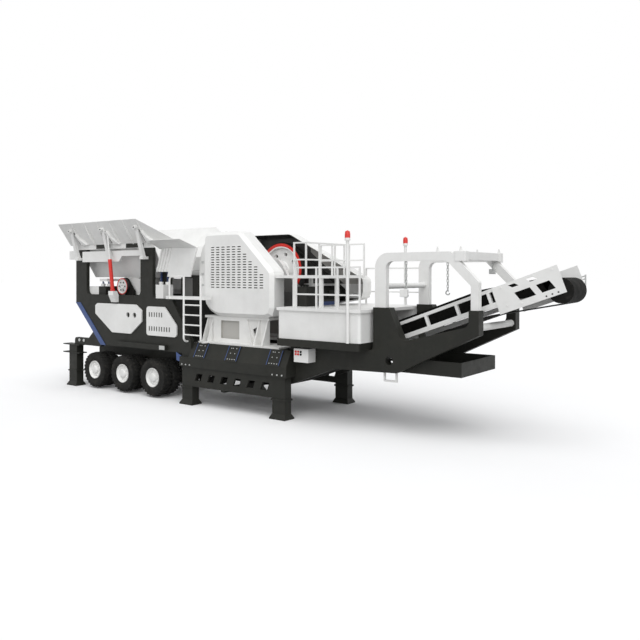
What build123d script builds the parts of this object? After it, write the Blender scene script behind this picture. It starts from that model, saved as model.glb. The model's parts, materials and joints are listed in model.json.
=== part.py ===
from build123d import *
from math import cos, hypot, pi, sin, tan
import os

# Portable jaw crushing plant, millimetres, Z up, ground at Z = 0.
# X is counted from the front legs, towards the head of the discharge conveyor.
# The side that the ladder is on is the near side, at negative Y.

# Reach of the conveyor head from the front legs
FRONT_REACH = 6630

# Clearances
SEAT_GAP = 0.3
RUN_GAP = 0.05
CUT_OVER = 20

# Support legs
LEG_MID_Y = 1325
LEG_LONG = 400
LEG_WIDE = 240
FRONT_LEG_X = 0
MIDDLE_LEG_X = -3200
REAR_LEG_X = -8450
FOOT_LONG = 500
FOOT_WIDE = 360
FOOT_PLATE = 30
FOOT_RISE = 130
SEAM_Z = 450
SEAM_THICK = 40
SEAM_LIP = 25
REAR_LEG_HIGH = 1300
REAR_SHELF_Z = 1050
REAR_PLATE = 30
REAR_PLATE_AHEAD = 350
REAR_PLATE_BEHIND = 500
REAR_REACH = REAR_PLATE_BEHIND - REAR_LEG_X
MID_X = (FRONT_REACH - REAR_REACH) / 2
REAR_ARM_X = -8420
REAR_ARM_HIGH = 220
REAR_ARM_ROUND = 90

# Main girders under the crusher
GIRDER_REAR = -3450
GIRDER_FRONT = 280
GIRDER_IN_Y = 1120
GIRDER_OUT_Y = 1500
CHORD_LOW = 1020
CHORD_HIGH = 1280
SKIRT_REAR = -3100
SKIRT_TOP = 1660
SKIRT_TOP_Y = 1300
TIE_LONG = 200

# Slotted beams between the front and middle legs
SLOT_BEAM_LOW = 500
SLOT_BEAM_THICK = 60
SLOT_COUNT = 6
SLOT_LONG = 220
SLOT_HIGH = 190
SLOT_LEAN = 75
SLOT_END_ROOM = 240

# Splice plates on the girder skirts
SPLICE_PLACES = (-2900, -1750, -350)
SPLICE_WIDE = 420
SPLICE_THICK = 16

# Side plates of the hopper frame
PLATE_OUT_Y = 1400
PLATE_THICK = 110
PLATE_REAR = -8350
PLATE_TOP = 4250
PLATE_BEND_Z = 2620
PLATE_TOE_X = -7070
PLATE_LOW = 1360
WINDOW_REAR = -7800
WINDOW_FRONT = -5210
WINDOW_LOW = 2880
WINDOW_ROUND = 140
COLUMN_FRONT = -4680
NOTCH_LOW = 2820
NOTCH_END = -3880
STRIP_WIDE = 240
STRIP_THICK = 15
CROSS_PLACES = (-6750, -5400, -4050)
CROSS_LONG = 120
CROSS_HIGH = 140

# Cover panels and long box on the side plates
COVER_THICK = 40
COVER_ROUND = 90
REAR_COVER_REAR = -7300
REAR_COVER_FRONT = -5120
FRONT_COVER_REAR = -4900
FRONT_COVER_FRONT = -3640
COVER_LOW = 1770
COVER_HIGH = 2620
VENT_WIDE = 45
VENT_HIGH = 130
VENT_PITCH = 105
UPPER_VENTS = 6
UPPER_VENT_DROP = 325
LOWER_VENTS = 9
PORT_RADIUS = 78
PORT_SHARES = (0.72, 0.856)
PORT_HIGH_SHARE = 0.637
LONG_BOX_REAR = -6200
LONG_BOX_FRONT = -4050
LONG_BOX_LOW = 1390
LONG_BOX_HIGH = 1530
LONG_BOX_DEEP = 90

# Trailer rails, axles and wheels
RAIL_IN_Y = 420
RAIL_OUT_Y = 580
RAIL_LOW = 950
RAIL_REAR = -8300
AXLE_PLACES = (-7420, -6070, -4720)
HUB_Z = 570
AXLE_RADIUS = 65
AXLE_HALF = 700
STUB_RADIUS = 50
STUB_END = 1270
TYRE_RADIUS = 540
TYRE_WIDE = 300
TYRE_SPACE = 40
TYRE_OUT_Y = 1400
RIM_RADIUS = 270
RIM_WALL = 15
HUB_RADIUS = 120
HUB_CAP_RADIUS = 84
HANGER_LONG = 80
HANGER_WIDE = 100
LEAF_THICK = 45
LEAF_RISE = 60
LEAF_LOW = 655

# Hopper, wings and feeder
HINGE_OUT_Y = 1450
HINGE_IN_Y = 1360
HINGE_HIGH = 150
WING_REACH = 450
WING_RISE = 645
WING_REAR = -8540
WING_PEAK_X = -4800
WING_TIP_X = -3540
FAR_WING_PEAK_X = -5480
FAR_WING_TIP_X = -4220
WING_THICK = 16
WING_RIB_DEEP = 70
WING_RIB_THICK = 14
WING_RIBS = 6
WING_RIB_START = -7860
HOPPER_REAR = -8260
HOPPER_FRONT = -4750
HOPPER_LOW_Y = 800
HOPPER_LOW_Z = 3400
HOPPER_WALL = 30
HOPPER_REAR_RUN = 150
CHANNEL_LOW = 3870
CHANNEL_STEP_Z = 4030
CHANNEL_STEP_X = -5990
CHANNEL_HIGH = 4190
CHANNEL_THICK = 60
CHANNEL_LAP = 130
PROP_BAY_SHARES = (-0.31, 2.27, 4.78)
PROP_TOP_SHARES = (0.6, 0.76)
PROP_WIDE = 115
PROP_FOOT_Z = 4000
PROP_FOOT_LONG = 150
PROP_FOOT_HIGH = 80
PROP_FOOT_DEEP = 200
RAM_BAY_SHARE = 2.51
RAM_SPLIT_SHARE = 0.545
RAM_RADIUS = 55
ROD_RADIUS = 28
RAM_FOOT_Y = 1530
RAM_FOOT_HIGH = 60
RAM_FOOT_LONG = 90
RAM_BRACKET_LOW = 2670
RAM_BRACKET_TOP = 3000
RAM_BRACKET_OUT_Y = 1600
RAM_BRACKET_WIDE = 220
RAM_LUG_LONG = 110
RAM_LUG_DEEP = 60
PAN_HALF = 775
PAN_REAR = -7900
PAN_FRONT = -2930
PAN_FLOOR = 3600
PAN_HIGH = 3980
PAN_WALL = 25
SPRING_FRONT_X = -4460
SPRING_REAR_X = -7160
SPRING_SPACE = 280
SPRING_Y = 1150
SPRING_RADIUS = 60
SPRING_LOW = 3200
SPRING_BRACKET = 80
SPRING_SEAT_LONG = 470
SPRING_SEAT_HALF = 110
REAR_SEAT_LONG = 470
REAR_BEAM_LONG = 340
REAR_BEAM_LOW = 2700
REAR_BEAM_TOP = 3125
REAR_ARM_LOW = 3280

# Side covers and side boards between hopper and crusher
SIDE_COVER_OUT_Y = 1300
SIDE_COVER_THICK = 40
SIDE_COVER_LOW = 3425
SIDE_COVER_REAR_LOW = 3565
SIDE_COVER_HIGH = 4220
SIDE_COVER_TOP_REAR = -4390
SIDE_COVER_TOP_FRONT = -2980
SIDE_COVER_LEAN = 270
SIDE_RIBS = 4
SIDE_RIB_PITCH = 120
SIDE_RIB_DEEP = 30
SIDE_RIB_WIDE = 55
BOARD_OUT_Y = 1720
BOARD_TOP_Z = 4430
BOARD_THICK = 16
BOARD_REAR = -4530
BOARD_LOW_FRONT = -2990
BOARD_TOP_FRONT = -3200

# Exciter of the feeder
EXCITER_X = -6500
EXCITER_Z = 3130
EXCITER_HALF = 330
EXCITER_SIDE = 700
EXCITER_REAR = -6960
EXCITER_FRONT = -5700
EXCITER_LOW = 2880
EXCITER_TOP = 3360
EXCITER_BOX_SIDE = 850
EXCITER_CHAMFER = 140
EXCITER_SHAFT = 40
PULLEY_RADIUS = 250
PULLEY_IN_Y = 970
PULLEY_OUT_Y = 1060
PULLEY_DISH = 30
PULLEY_HUB = 75
PULLEY_RIM = 40

# Crusher body
SHAFT_X = -1740
SHAFT_Z = 3620
SHAFT_RADIUS = 130
BED_TOP = 1700
BED_REAR = -2970
BED_FRONT = -146
BED_IN_Y = 500
BED_OUT_Y = 1250
STAND_OUT_Y = 1020
STAND_THICK = 60
STAND_REAR = -2640
STAND_FRONT = -1420
STAND_HIGH = 2330
STAND_WINDOW_REAR = -2350
STAND_WINDOW_FRONT = -1690
STAND_WINDOW_LOW = 1800
STAND_WINDOW_HIGH = 2270
STAND_FLARE = 180
STAND_WEB = 40
WEB_HOLE = ((-1280, 2070), (-1180, 1860), (-1050, 2170))
FIN_PLACES = (-2890, -2700, -1040, -765)
FIN_THICK = 40
FIN_TOP_Y = 985
FIN_LOW_Y = 1210
SADDLE_THICK = 60
SADDLE_END = 100
MOUTH_HALF = 450
CRUSHER_WALL = 110
CRUSHER_REAR = -2860
CRUSHER_FRONT = -760
CRUSHER_FEED_TOP = 3560
CRUSHER_BACK_TOP = 3050
CRUSHER_RIB = 60
HUMP_FALL = 450
END_WALL = 90
JAW_THICK = 80
JAW_TOOTH = 40
JAW_TEETH = 9
MOUTH_LONG = 600
GAP_LONG = 120
JAW_LOW = 2480
SWING_THICK = 190
SWING_HEAD = 290
HOUSING_RADIUS = 280
HOUSING_LONG = 80
FLYWHEEL_RADIUS = 745
FLYWHEEL_IN_Y = 720
FLYWHEEL_WIDE = 250
FLYWHEEL_RIM = 120
FLYWHEEL_WEB = 90
FLYWHEEL_HUB = 230
FLYWHEEL_HOLE = 55
FLYWHEEL_HOLE_RING = 440
FLYWHEEL_HOLES = 8
FLYWHEEL_HOLE_TURN = pi / 6

# Guards over the flywheels
GUARD_OUT_Y = 1160
GUARD_BEVEL = 90
GUARD_BACK_Y = 690
GUARD_SKIN = 12
GUARD_REAR = -2820
GUARD_FRONT = -540
GUARD_TOP = 4525
GUARD_LOW = 2480
GUARD_PEAK_X = -1600
GUARD_SHOULDER_Z = 3525
GUARD_TOE_X = -2440
GUARD_TOE_Z = 2720
GUARD_TOP_CUT = 110
GUARD_PEAK_CUT = 60
GUARD_LOW_CUT = 180
LOUVRE_COLUMNS = 10
LOUVRE_ROWS = 17
LOUVRE_REAR = -2590
LOUVRE_LOW = 3140
LOUVRE_PITCH_X = 192
LOUVRE_PITCH_Z = 66
LOUVRE_LONG = 120
LOUVRE_HIGH = 28
LOUVRE_MARGIN = 190
FAR_GUARD_PEAK_X = -1410
FAR_GUARD_FRONT = 950
FAR_GUARD_NOSE_Z = 3330
FAR_GUARD_NOSE_LOW = 2940
FAR_GUARD_LOW = 2440

# Drive motor and belts
MOTOR_X = 180
MOTOR_Z = 2985
MOTOR_RADIUS = 195
MOTOR_IN_Y = -200
MOTOR_OUT_Y = 660
MOTOR_FOOT = 300
MOTOR_SHAFT = 45
MOTOR_PULLEY = 160
BELT_THICK = 25
BELT_IN_Y = 770
BELT_OUT_Y = 920
BELT_CLEAR = 5

# Front frames and decks
FRAME_IN_Y = 890
FRAME_OUT_Y = 1120
FRAME_HEEL_X = 100
FRAME_HEEL_Z = 815
FRAME_KNEE_X = 1405
FRAME_KNEE_Z = 1300
FRAME_TOE_X = 3060
FRAME_TOE_Z = 1340
FRAME_NOSE_X = 4970
FRAME_NOSE_Z = 2257
FRAME_BACK_TOP = 1800
FRAME_POST_TOP = 2760
FRAME_POST_REAR = 2474
FRAME_POST_FRONT = 2885
FRAME_THROAT_X = 3200
FRAME_THROAT_Z = 2040
FRAME_NOSE_POST = 220
FRAME_DIP_Z = 2430
FRAME_BORE_X = 2885
FRAME_BORE_Z = 1600
FRAME_BORE = 93
FRAME_ROUND = 130
FRAME_BACK_ROUND = 100
TRAY_REAR = 3000
TRAY_FRONT = 4490
TRAY_LOW = 1340
TRAY_HIGH = 1650
TRAY_WALL = 20
STEP_REAR = 2690
STEP_FRONT = 3030
STEP_DROP = 210
STEP_BAR = 40
NOSE_TUBE_RADIUS = 75
NOSE_TUBE_X = 4860
NOSE_TUBE_Z = 2400
CABINET_REAR = 20
CABINET_FRONT = 2370
CABINET_OUT_Y = 1500
CABINET_LOW = 1970
CABINET_HIGH = 2640
CABINET_IN_Y = 900
CABINET_ROUND = 70
DECK_TOP = 2710
DECK_LAP = 40
LEDGE_LOW = 1800
LEDGE_OUT_Y = 1560
CONTROL_REAR = 440
CONTROL_LONG = 430
CONTROL_LOW = 1420
CONTROL_HIGH = 1740
CONTROL_OUT_Y = 1400
UPPER_DECK_REAR = -440
UPPER_DECK_FRONT = 1150
UPPER_DECK_NEAR = 1050
UPPER_DECK_FAR = 620
UPPER_DECK_LOW = 3400
UPPER_DECK_THICK = 70
DECK_POST = 80
DECK_POST_PLACES = (150, 950)
DECK_POST_Y = (-1000, -350)
TANK_REAR = 40
TANK_FRONT = 460
TANK_OUT_Y = 940
TANK_IN_Y = 430
TANK_TOP = 3190
TANK_ROUND = 60
TANK_CAP_RADIUS = 70
TANK_CAP_HIGH = 50
RAILING_TUBE = 36
RAILING_HIGH = 960
RAILING_MID = 340
UPPER_RAILING_HIGH = 810
UPPER_RAILING_MID = 400
RAILING_INSET = 25
LOWER_RAILING_REAR = 600
LOWER_RAILING_FRONT = 2380
UPPER_RAILING_REAR = 150
UPPER_RAILING_FRONT = 515
FAR_RAILING_REAR = -240
FAR_RAILING_FRONT = 1125
RAILING_POSTS = 4
NEAR_POLE_X = 2100
FAR_POLE_X = 1770
POLE_RADIUS = 37
POLE_TOP = 4240
LAMP_RADIUS = 62
LAMP_HIGH = 170
LAMP_BASE = 60
LAMP_SHOULDER_SHARE = 0.85

# Ladder and landing
LADDER_REAR = -3230
LADDER_FRONT = -2580
LADDER_OUT_Y = 1570
LADDER_RADIUS = 27
LADDER_BEND = 110
RUNG_RADIUS = 20
LADDER_TOP = 3460
LADDER_RUNGS = 4
LADDER_RUNG_LOW = 1880
LADDER_RUNG_PITCH = 265
LANDING_REAR = -3960
LANDING_FRONT = -2440
LANDING_IN_Y = 1290
LANDING_THICK = 80
HOOP_REAR = -3800
FOOT_BAR_Z = 1690

# Arches over the front frames
ARCH_REAR = 2500
ARCH_FRONT = 4950
ARCH_TOP = 3970
ARCH_BEAM = 190
ARCH_POST = 280
ARCH_NOSE_POST = 170
ARCH_BEND_X = 4330
ARCH_BEND_Z = 3340
ARCH_IN_Y = 940
ARCH_OUT_Y = 1080
ARCH_ROUND = 330
ARCH_INNER_ROUND = 150
ARCH_BEND_ROUND = 60
ARCH_TUBE_RADIUS = 65
ARCH_TUBE_X = 2640
ARCH_TUBE_Z = 3230
ARCH_CROSS_REAR = 4400
ARCH_CROSS_FRONT = 4560
ARCH_CROSS_LOW = 3800
CHAIN_X = 3250
CHAIN_LINKS = 10
LINK_LONG = 90
LINK_WIDE = 56
LINK_BAR = 14
LINK_LAP = 4
LINK_CHAMFER = 14
HOOK_RADIUS = 60
HOOK_BAR = 24
HOOK_CHAMFER_SHARE = 0.6

# Discharge conveyor
INCLINE = 20 * pi / 180
HEAD_INCLINE = 11 * pi / 180
TAIL_X = -2950
TAIL_Z = 850
BEND_X = -725
BEND_RADIUS = 2000
HEAD_BEND = 5900
HEAD_BEND_RADIUS = 1500
BELT_HALF_DEEP = 262
BELT_SHEET = 18
BELT_HALF_WIDE = 430
DRUM_SHAFT = 50
END_ROUND_SHARE = 0.98
TRUSS_OUT_Y = 660
TRUSS_IN_Y = 590
TRUSS_TOP_BAR = 70
TRUSS_LOW_BAR = 100
TRUSS_POST = 60
TRUSS_PITCH = 760
TRUSS_UP = 242
TRUSS_DOWN = 152
TRUSS_POSTS = 9
HEAD_REAR = 6230
HEAD_LONG = 1410
HEAD_LAP = 180
HEAD_UP = 235
HEAD_LOW = 325
HEAD_THICK = 20
HEAD_LEAN_SHARE = 0.05
HEAD_CUT_SHARES = ((0.35, 0.59, 0.25, 0.58), (0.68, 0.88, 0.25, 0.58), (0.30, 0.40, 0.78, 0.90),
                   (0.57, 0.68, 0.76, 0.90))
IDLER_RADIUS = 55
IDLER_SHAFT = 20
IDLERS = 5
IDLER_START = 400
IDLER_PITCH = 1300
MIDDLE_SADDLE_X = 2000
FRONT_SADDLE_X = 3300
TAIL_SADDLE_X = -2000
SADDLE_LONG = 140
SADDLE_HIGH = 120
SADDLE_DROP = 290


# Basic shapes

def block(x, y, z):
    """Box between the low and high places given along X, Y and Z."""
    size = [high - low for low, high in (x, y, z)]
    mid = [(high + low) / 2 for low, high in (x, y, z)]
    return Pos(*mid) * Box(*size)


def side_outline(points, y, radius=None):
    """Outline in X and Z, extruded from the first to the second Y place."""
    corners = [(px, y[0], pz) for px, pz in points]
    if radius is None:
        line = Polyline(*corners, close=True)
    else:
        line = FilletPolyline(*corners, radius=radius, close=True)
    return extrude(make_face(line), amount=y[1] - y[0], dir=(0, 1, 0))


def plan_outline(points, z, radius):
    """Outline in X and Y, extruded from the first to the second Z place."""
    corners = [(px, py, z[0]) for px, py in points]
    line = FilletPolyline(*corners, radius=radius, close=True)
    return extrude(make_face(line), amount=z[1] - z[0], dir=(0, 0, 1))


def end_outline(points, x):
    """Outline in Y and Z, extruded from the first to the second X place."""
    corners = [(x[0], py, pz) for py, pz in points]
    return extrude(make_face(Polyline(*corners, close=True)), amount=x[1] - x[0], dir=(1, 0, 0))


def cross_cylinder(x, z, radius, y):
    """Cylinder along Y between two places."""
    return Pos(x, (y[0] + y[1]) / 2, z) * Rot(90, 0, 0) * Cylinder(radius, y[1] - y[0])


def round_bar(start, end, radius):
    """Cylinder from one point to another."""
    way = Vector(*end) - Vector(*start)
    return Solid.make_cylinder(radius, way.length, Plane(origin=start, z_dir=way))


def bent_tube(points, bend, radius):
    """Round tube along straight runs that are joined by bends."""
    way = FilletPolyline(*points, radius=bend)
    return sweep(Plane(origin=way @ 0, z_dir=way % 0) * Circle(radius), way)


def spun(profile, x, z):
    """Profile of (radius, Y) points turned about an axis along Y."""
    corners = [(x, py, z + radius) for radius, py in profile]
    return revolve(make_face(Polyline(*corners, close=True)), Axis((x, 0, z), (0, 1, 0)))


def mirrored(*solids):
    """The given near side solids and their copies on the far side."""
    return [*solids, *[mirror(solid, about=Plane.XZ) for solid in solids]]


def save(name, *solids):
    """Write one sub-part, moved so that the whole plant is centred on X = 0."""
    moved = [Pos(-MID_X, 0, 0) * solid for solid in solids]
    export_step(Compound(children=moved), "parts/" + name + ".step")


os.makedirs("parts", exist_ok=True)


# Support legs

def leg(x, top):
    post = block((x - LEG_LONG / 2, x + LEG_LONG / 2),
                 (-LEG_MID_Y - LEG_WIDE / 2, -LEG_MID_Y + LEG_WIDE / 2), (FOOT_PLATE, top))
    plate = Pos(x, -LEG_MID_Y, FOOT_PLATE / 2) * Box(FOOT_LONG, FOOT_WIDE, FOOT_PLATE)
    low = Pos(x, -LEG_MID_Y, FOOT_PLATE) * Rectangle(FOOT_LONG, FOOT_WIDE)
    high = Pos(x, -LEG_MID_Y, FOOT_RISE) * Rectangle(LEG_LONG, LEG_WIDE)
    seam = Pos(x, -LEG_MID_Y, SEAM_Z + SEAM_THICK / 2) * Box(
        LEG_LONG + 2 * SEAM_LIP, LEG_WIDE + 2 * SEAM_LIP, SEAM_THICK)
    return post + plate + loft([low, high]) + seam


def rear_leg():
    shelves = [block((-REAR_REACH, REAR_LEG_X + REAR_PLATE_AHEAD),
                     (-LEG_MID_Y - LEG_WIDE / 2 - SEAM_LIP, -LEG_MID_Y + LEG_WIDE / 2 + SEAM_LIP),
                     (top - REAR_PLATE, top)) for top in (REAR_SHELF_Z, REAR_LEG_HIGH)]
    return leg(REAR_LEG_X, REAR_LEG_HIGH) + shelves + rear_arm()


# Main girders, tie and slotted beams

def girder():
    chord = block((GIRDER_REAR, GIRDER_FRONT), (-GIRDER_OUT_Y, -GIRDER_IN_Y), (CHORD_LOW, CHORD_HIGH))
    skirt = end_outline([(-GIRDER_OUT_Y, CHORD_HIGH), (-SKIRT_TOP_Y, SKIRT_TOP),
                         (-GIRDER_IN_Y, SKIRT_TOP), (-GIRDER_IN_Y, CHORD_HIGH)],
                        (SKIRT_REAR, GIRDER_FRONT))
    return chord + skirt + [splice_plate(x) for x in SPLICE_PLACES]


def slotted_beam():
    rear = MIDDLE_LEG_X + LEG_LONG / 2
    front = FRONT_LEG_X - LEG_LONG / 2
    face = -LEG_MID_Y - LEG_WIDE / 2
    beam = block((rear, front), (face, face + SLOT_BEAM_THICK), (SLOT_BEAM_LOW, CHORD_LOW))
    middle = (SLOT_BEAM_LOW + CHORD_LOW) / 2
    pitch = (front - rear - 2 * SLOT_END_ROOM) / (SLOT_COUNT - 1)
    for place in range(SLOT_COUNT):
        x = rear + SLOT_END_ROOM + place * pitch
        low = x - SLOT_LONG / 2 - SLOT_LEAN / 2
        high = x - SLOT_LONG / 2 + SLOT_LEAN / 2
        beam -= side_outline([(low, middle - SLOT_HIGH / 2), (low + SLOT_LONG, middle - SLOT_HIGH / 2),
                              (high + SLOT_LONG, middle + SLOT_HIGH / 2), (high, middle + SLOT_HIGH / 2)],
                             (face - CUT_OVER, face + SLOT_BEAM_THICK + CUT_OVER))
    return beam


def splice_plate(x):
    run = GIRDER_OUT_Y - SKIRT_TOP_Y
    rise = SKIRT_TOP - CHORD_HIGH
    out = SPLICE_THICK * hypot(run, rise) / rise
    return end_outline([(-GIRDER_OUT_Y, CHORD_HIGH), (-SKIRT_TOP_Y, SKIRT_TOP),
                        (-SKIRT_TOP_Y - out, SKIRT_TOP), (-GIRDER_OUT_Y - out, CHORD_HIGH)],
                       (x, x + SPLICE_WIDE))


save("main_girders", *mirrored(girder()))
save("slotted_beams", *mirrored(slotted_beam()))


# Side plates of the hopper frame, with their strips, covers and cross members

def slant_x(z):
    """X of the slanted lower rear edge of a side plate at a height."""
    share = (z - PLATE_LOW) / (PLATE_BEND_Z - PLATE_LOW)
    return PLATE_TOE_X + share * (PLATE_REAR - PLATE_TOE_X)


def side_plate():
    outline = [(PLATE_REAR, PLATE_TOP), (PLATE_REAR, PLATE_BEND_Z), (PLATE_TOE_X, PLATE_LOW),
               (GIRDER_REAR, PLATE_LOW), (GIRDER_REAR, CHORD_HIGH), (SKIRT_REAR, CHORD_HIGH),
               (SKIRT_REAR, BED_TOP), (NOTCH_END, NOTCH_LOW), (COLUMN_FRONT, NOTCH_LOW),
               (COLUMN_FRONT, PLATE_TOP), (WINDOW_FRONT, PLATE_TOP), (WINDOW_FRONT, WINDOW_LOW),
               (WINDOW_REAR, WINDOW_LOW), (WINDOW_REAR, PLATE_TOP)]
    corner = WINDOW_ROUND
    rounds = [0, 0, 0, 0, 0, 0, 0, 0, corner, 0, 0, corner, corner, 0]
    return side_outline(outline, (-PLATE_OUT_Y, -PLATE_OUT_Y + PLATE_THICK), rounds)


def edge_strip():
    outline = [(PLATE_REAR, PLATE_BEND_Z), (PLATE_TOE_X, PLATE_LOW), (PLATE_TOE_X + STRIP_WIDE, PLATE_LOW),
               (PLATE_REAR + STRIP_WIDE, PLATE_BEND_Z)]
    return side_outline(outline, (-PLATE_OUT_Y - STRIP_THICK, -PLATE_OUT_Y))


def vents(x, z, count, y):
    return [block((x + place * VENT_PITCH, x + place * VENT_PITCH + VENT_WIDE), y, (z, z + VENT_HIGH))
            for place in range(count)]


def rear_cover():
    long = REAR_COVER_FRONT - REAR_COVER_REAR
    high = COVER_HIGH - COVER_LOW
    shares = [(0.05, 1), (0.88, 1), (1, 0.82), (1, 0.42), (0.78, 0), (0.38, 0), (0, 0.63), (0, 0.93)]
    points = [(REAR_COVER_REAR + a * long, COVER_LOW + b * high) for a, b in shares]
    y = (-PLATE_OUT_Y - COVER_THICK, -PLATE_OUT_Y)
    cover = side_outline(points, y, COVER_ROUND / 2)
    for share in PORT_SHARES:
        cover -= cross_cylinder(REAR_COVER_REAR + share * long, COVER_LOW + PORT_HIGH_SHARE * high,
                                PORT_RADIUS, (y[0] - CUT_OVER, y[1] + CUT_OVER))
    return cover


def front_cover():
    long = FRONT_COVER_FRONT - FRONT_COVER_REAR
    high = COVER_HIGH - COVER_LOW
    shares = [(0, 0.96), (0.61, 0.96), (1, 0.37), (1, 0), (0, 0)]
    points = [(FRONT_COVER_REAR + a * long, COVER_LOW + b * high) for a, b in shares]
    y = (-PLATE_OUT_Y - COVER_THICK, -PLATE_OUT_Y)
    cut = (y[0] - CUT_OVER, y[1] + CUT_OVER)
    cover = side_outline(points, y, COVER_ROUND)
    upper = vents(FRONT_COVER_REAR + VENT_PITCH, COVER_HIGH - UPPER_VENT_DROP, UPPER_VENTS, cut)
    lower = vents(FRONT_COVER_REAR + VENT_PITCH, COVER_LOW + VENT_HIGH, LOWER_VENTS, cut)
    return cover - upper - lower


def rear_arm():
    high = REAR_LEG_HIGH + REAR_ARM_HIGH
    top = high + REAR_ARM_HIGH
    outline = [(REAR_ARM_X, REAR_LEG_HIGH), (PLATE_TOE_X, REAR_LEG_HIGH), (PLATE_TOE_X, PLATE_LOW),
               (slant_x(top), top), (slant_x(top) - LEG_WIDE, high), (REAR_ARM_X, high)]
    rounds = [0, 0, 0, 0, 0, REAR_ARM_ROUND]
    return side_outline(outline, (-PLATE_OUT_Y, -PLATE_OUT_Y + PLATE_THICK), rounds)


save("side_plates", *mirrored(side_plate()))
save("edge_strips", *mirrored(edge_strip()))
save("cover_panels", *mirrored(rear_cover(), front_cover()))
save("support_legs", *mirrored(leg(FRONT_LEG_X, CHORD_LOW), leg(MIDDLE_LEG_X, CHORD_LOW), rear_leg()))
save("long_boxes", *mirrored(block((LONG_BOX_REAR, LONG_BOX_FRONT),
                                   (-PLATE_OUT_Y - LONG_BOX_DEEP, -PLATE_OUT_Y),
                                   (LONG_BOX_LOW, LONG_BOX_HIGH))))


# Trailer rails, axles, springs and wheels

AXLE_PITCH = (AXLE_PLACES[2] - AXLE_PLACES[0]) / 2
HANGER_PLACES = [AXLE_PLACES[0] - AXLE_PITCH / 2 + place * AXLE_PITCH for place in range(4)]
RAIL_MID_Y = (RAIL_IN_Y + RAIL_OUT_Y) / 2
TYRE_IN_Y = TYRE_OUT_Y - 2 * TYRE_WIDE - TYRE_SPACE


def axle(x):
    beam = cross_cylinder(x, HUB_Z, AXLE_RADIUS, (-AXLE_HALF, AXLE_HALF))
    stub = cross_cylinder(x, HUB_Z, STUB_RADIUS, (-STUB_END, STUB_END))
    pads = mirrored(block((x - HANGER_LONG / 2, x + HANGER_LONG / 2),
                          (-RAIL_MID_Y - HANGER_WIDE / 2, -RAIL_MID_Y + HANGER_WIDE / 2),
                          (HUB_Z, LEAF_LOW - SEAT_GAP)))
    return beam + stub + pads


def leaf_spring(x):
    half = AXLE_PITCH / 2 - HANGER_LONG / 2
    y = -RAIL_MID_Y - HANGER_WIDE / 2
    low = ThreePointArc((x - half, y, LEAF_LOW + LEAF_RISE), (x, y, LEAF_LOW),
                        (x + half, y, LEAF_LOW + LEAF_RISE))
    high = ThreePointArc((x - half, y, LEAF_LOW + LEAF_RISE + LEAF_THICK), (x, y, LEAF_LOW + LEAF_THICK),
                         (x + half, y, LEAF_LOW + LEAF_RISE + LEAF_THICK))
    ends = [Line(low @ end, high @ end) for end in (0, 1)]
    return extrude(make_face([low, high, *ends]), amount=HANGER_WIDE, dir=(0, 1, 0))


def hanger(x):
    return block((x - HANGER_LONG / 2, x + HANGER_LONG / 2),
                 (-RAIL_MID_Y - HANGER_WIDE / 2, -RAIL_MID_Y + HANGER_WIDE / 2),
                 (LEAF_LOW, RAIL_LOW))


def tyres(x):
    rows = []
    for inner in (TYRE_IN_Y, TYRE_IN_Y + TYRE_WIDE + TYRE_SPACE):
        shares = [(0, 0.1), (0.4, 0), (0.85, 0.05), (1, 0.2), (1, 0.8), (0.85, 0.95), (0.4, 1), (0, 0.9)]
        deep = TYRE_RADIUS - RIM_RADIUS
        rows.append(spun([(RIM_RADIUS + a * deep, -inner - b * TYRE_WIDE) for a, b in shares], x, HUB_Z))
    return rows


def rim(x):
    bore = STUB_RADIUS + RUN_GAP
    seat = RIM_RADIUS - SEAT_GAP
    wall = RIM_RADIUS - RIM_WALL
    inner = TYRE_IN_Y + TYRE_SPACE / 2
    outer = TYRE_OUT_Y - TYRE_SPACE / 2
    disc = TYRE_OUT_Y - TYRE_WIDE
    dish = disc + HUB_RADIUS / 2
    cap = STUB_END + HUB_RADIUS / 2
    ring = [(bore, AXLE_HALF + AXLE_RADIUS), (HUB_RADIUS, AXLE_HALF + AXLE_RADIUS), (HUB_RADIUS, dish),
            (wall, disc), (wall, inner), (seat, inner), (seat, outer), (wall, outer),
            (wall, disc + RIM_WALL), (HUB_RADIUS, dish + RIM_WALL), (HUB_RADIUS, STUB_END),
            (HUB_CAP_RADIUS, cap), (0, cap), (0, STUB_END + RIM_WALL), (bore, STUB_END + RIM_WALL)]
    return spun([(radius, -y) for radius, y in ring], x, HUB_Z)


save("trailer_rails", *mirrored(block((RAIL_REAR, GIRDER_REAR), (-RAIL_OUT_Y, -RAIL_IN_Y),
                                      (RAIL_LOW, PLATE_LOW))))
save("axles", *[axle(x) for x in AXLE_PLACES])
suspension = Part() + [leaf_spring(x) for x in AXLE_PLACES] + [hanger(x) for x in HANGER_PLACES]
save("suspension", *mirrored(suspension))
for number, x in enumerate(AXLE_PLACES, 1):
    wheel = [*tyres(x), rim(x)]
    save("near_wheel_" + str(number), *wheel)
    save("far_wheel_" + str(number), *[mirror(piece, about=Plane.XZ) for piece in wheel])


# Hopper with its folding wings, props and rams

HINGE_Z = PLATE_TOP + HINGE_HIGH
WING_LONG = hypot(WING_REACH, WING_RISE)
WING_OUT = WING_REACH / WING_LONG
WING_UP = WING_RISE / WING_LONG
WING_RIB_PITCH = (WING_PEAK_X - WING_RIB_START) / (WING_RIBS - 1)
WING_PLANE = Plane(origin=(0, -HINGE_OUT_Y, HINGE_Z), x_dir=(1, 0, 0), z_dir=(0, -WING_UP, -WING_OUT))


def wing_point(along, out=WING_THICK):
    """Y and Z of a place on a near wing: along its slope, out from its inner face."""
    return (-HINGE_OUT_Y - along * WING_OUT - out * WING_UP, HINGE_Z + along * WING_UP - out * WING_OUT)


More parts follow.
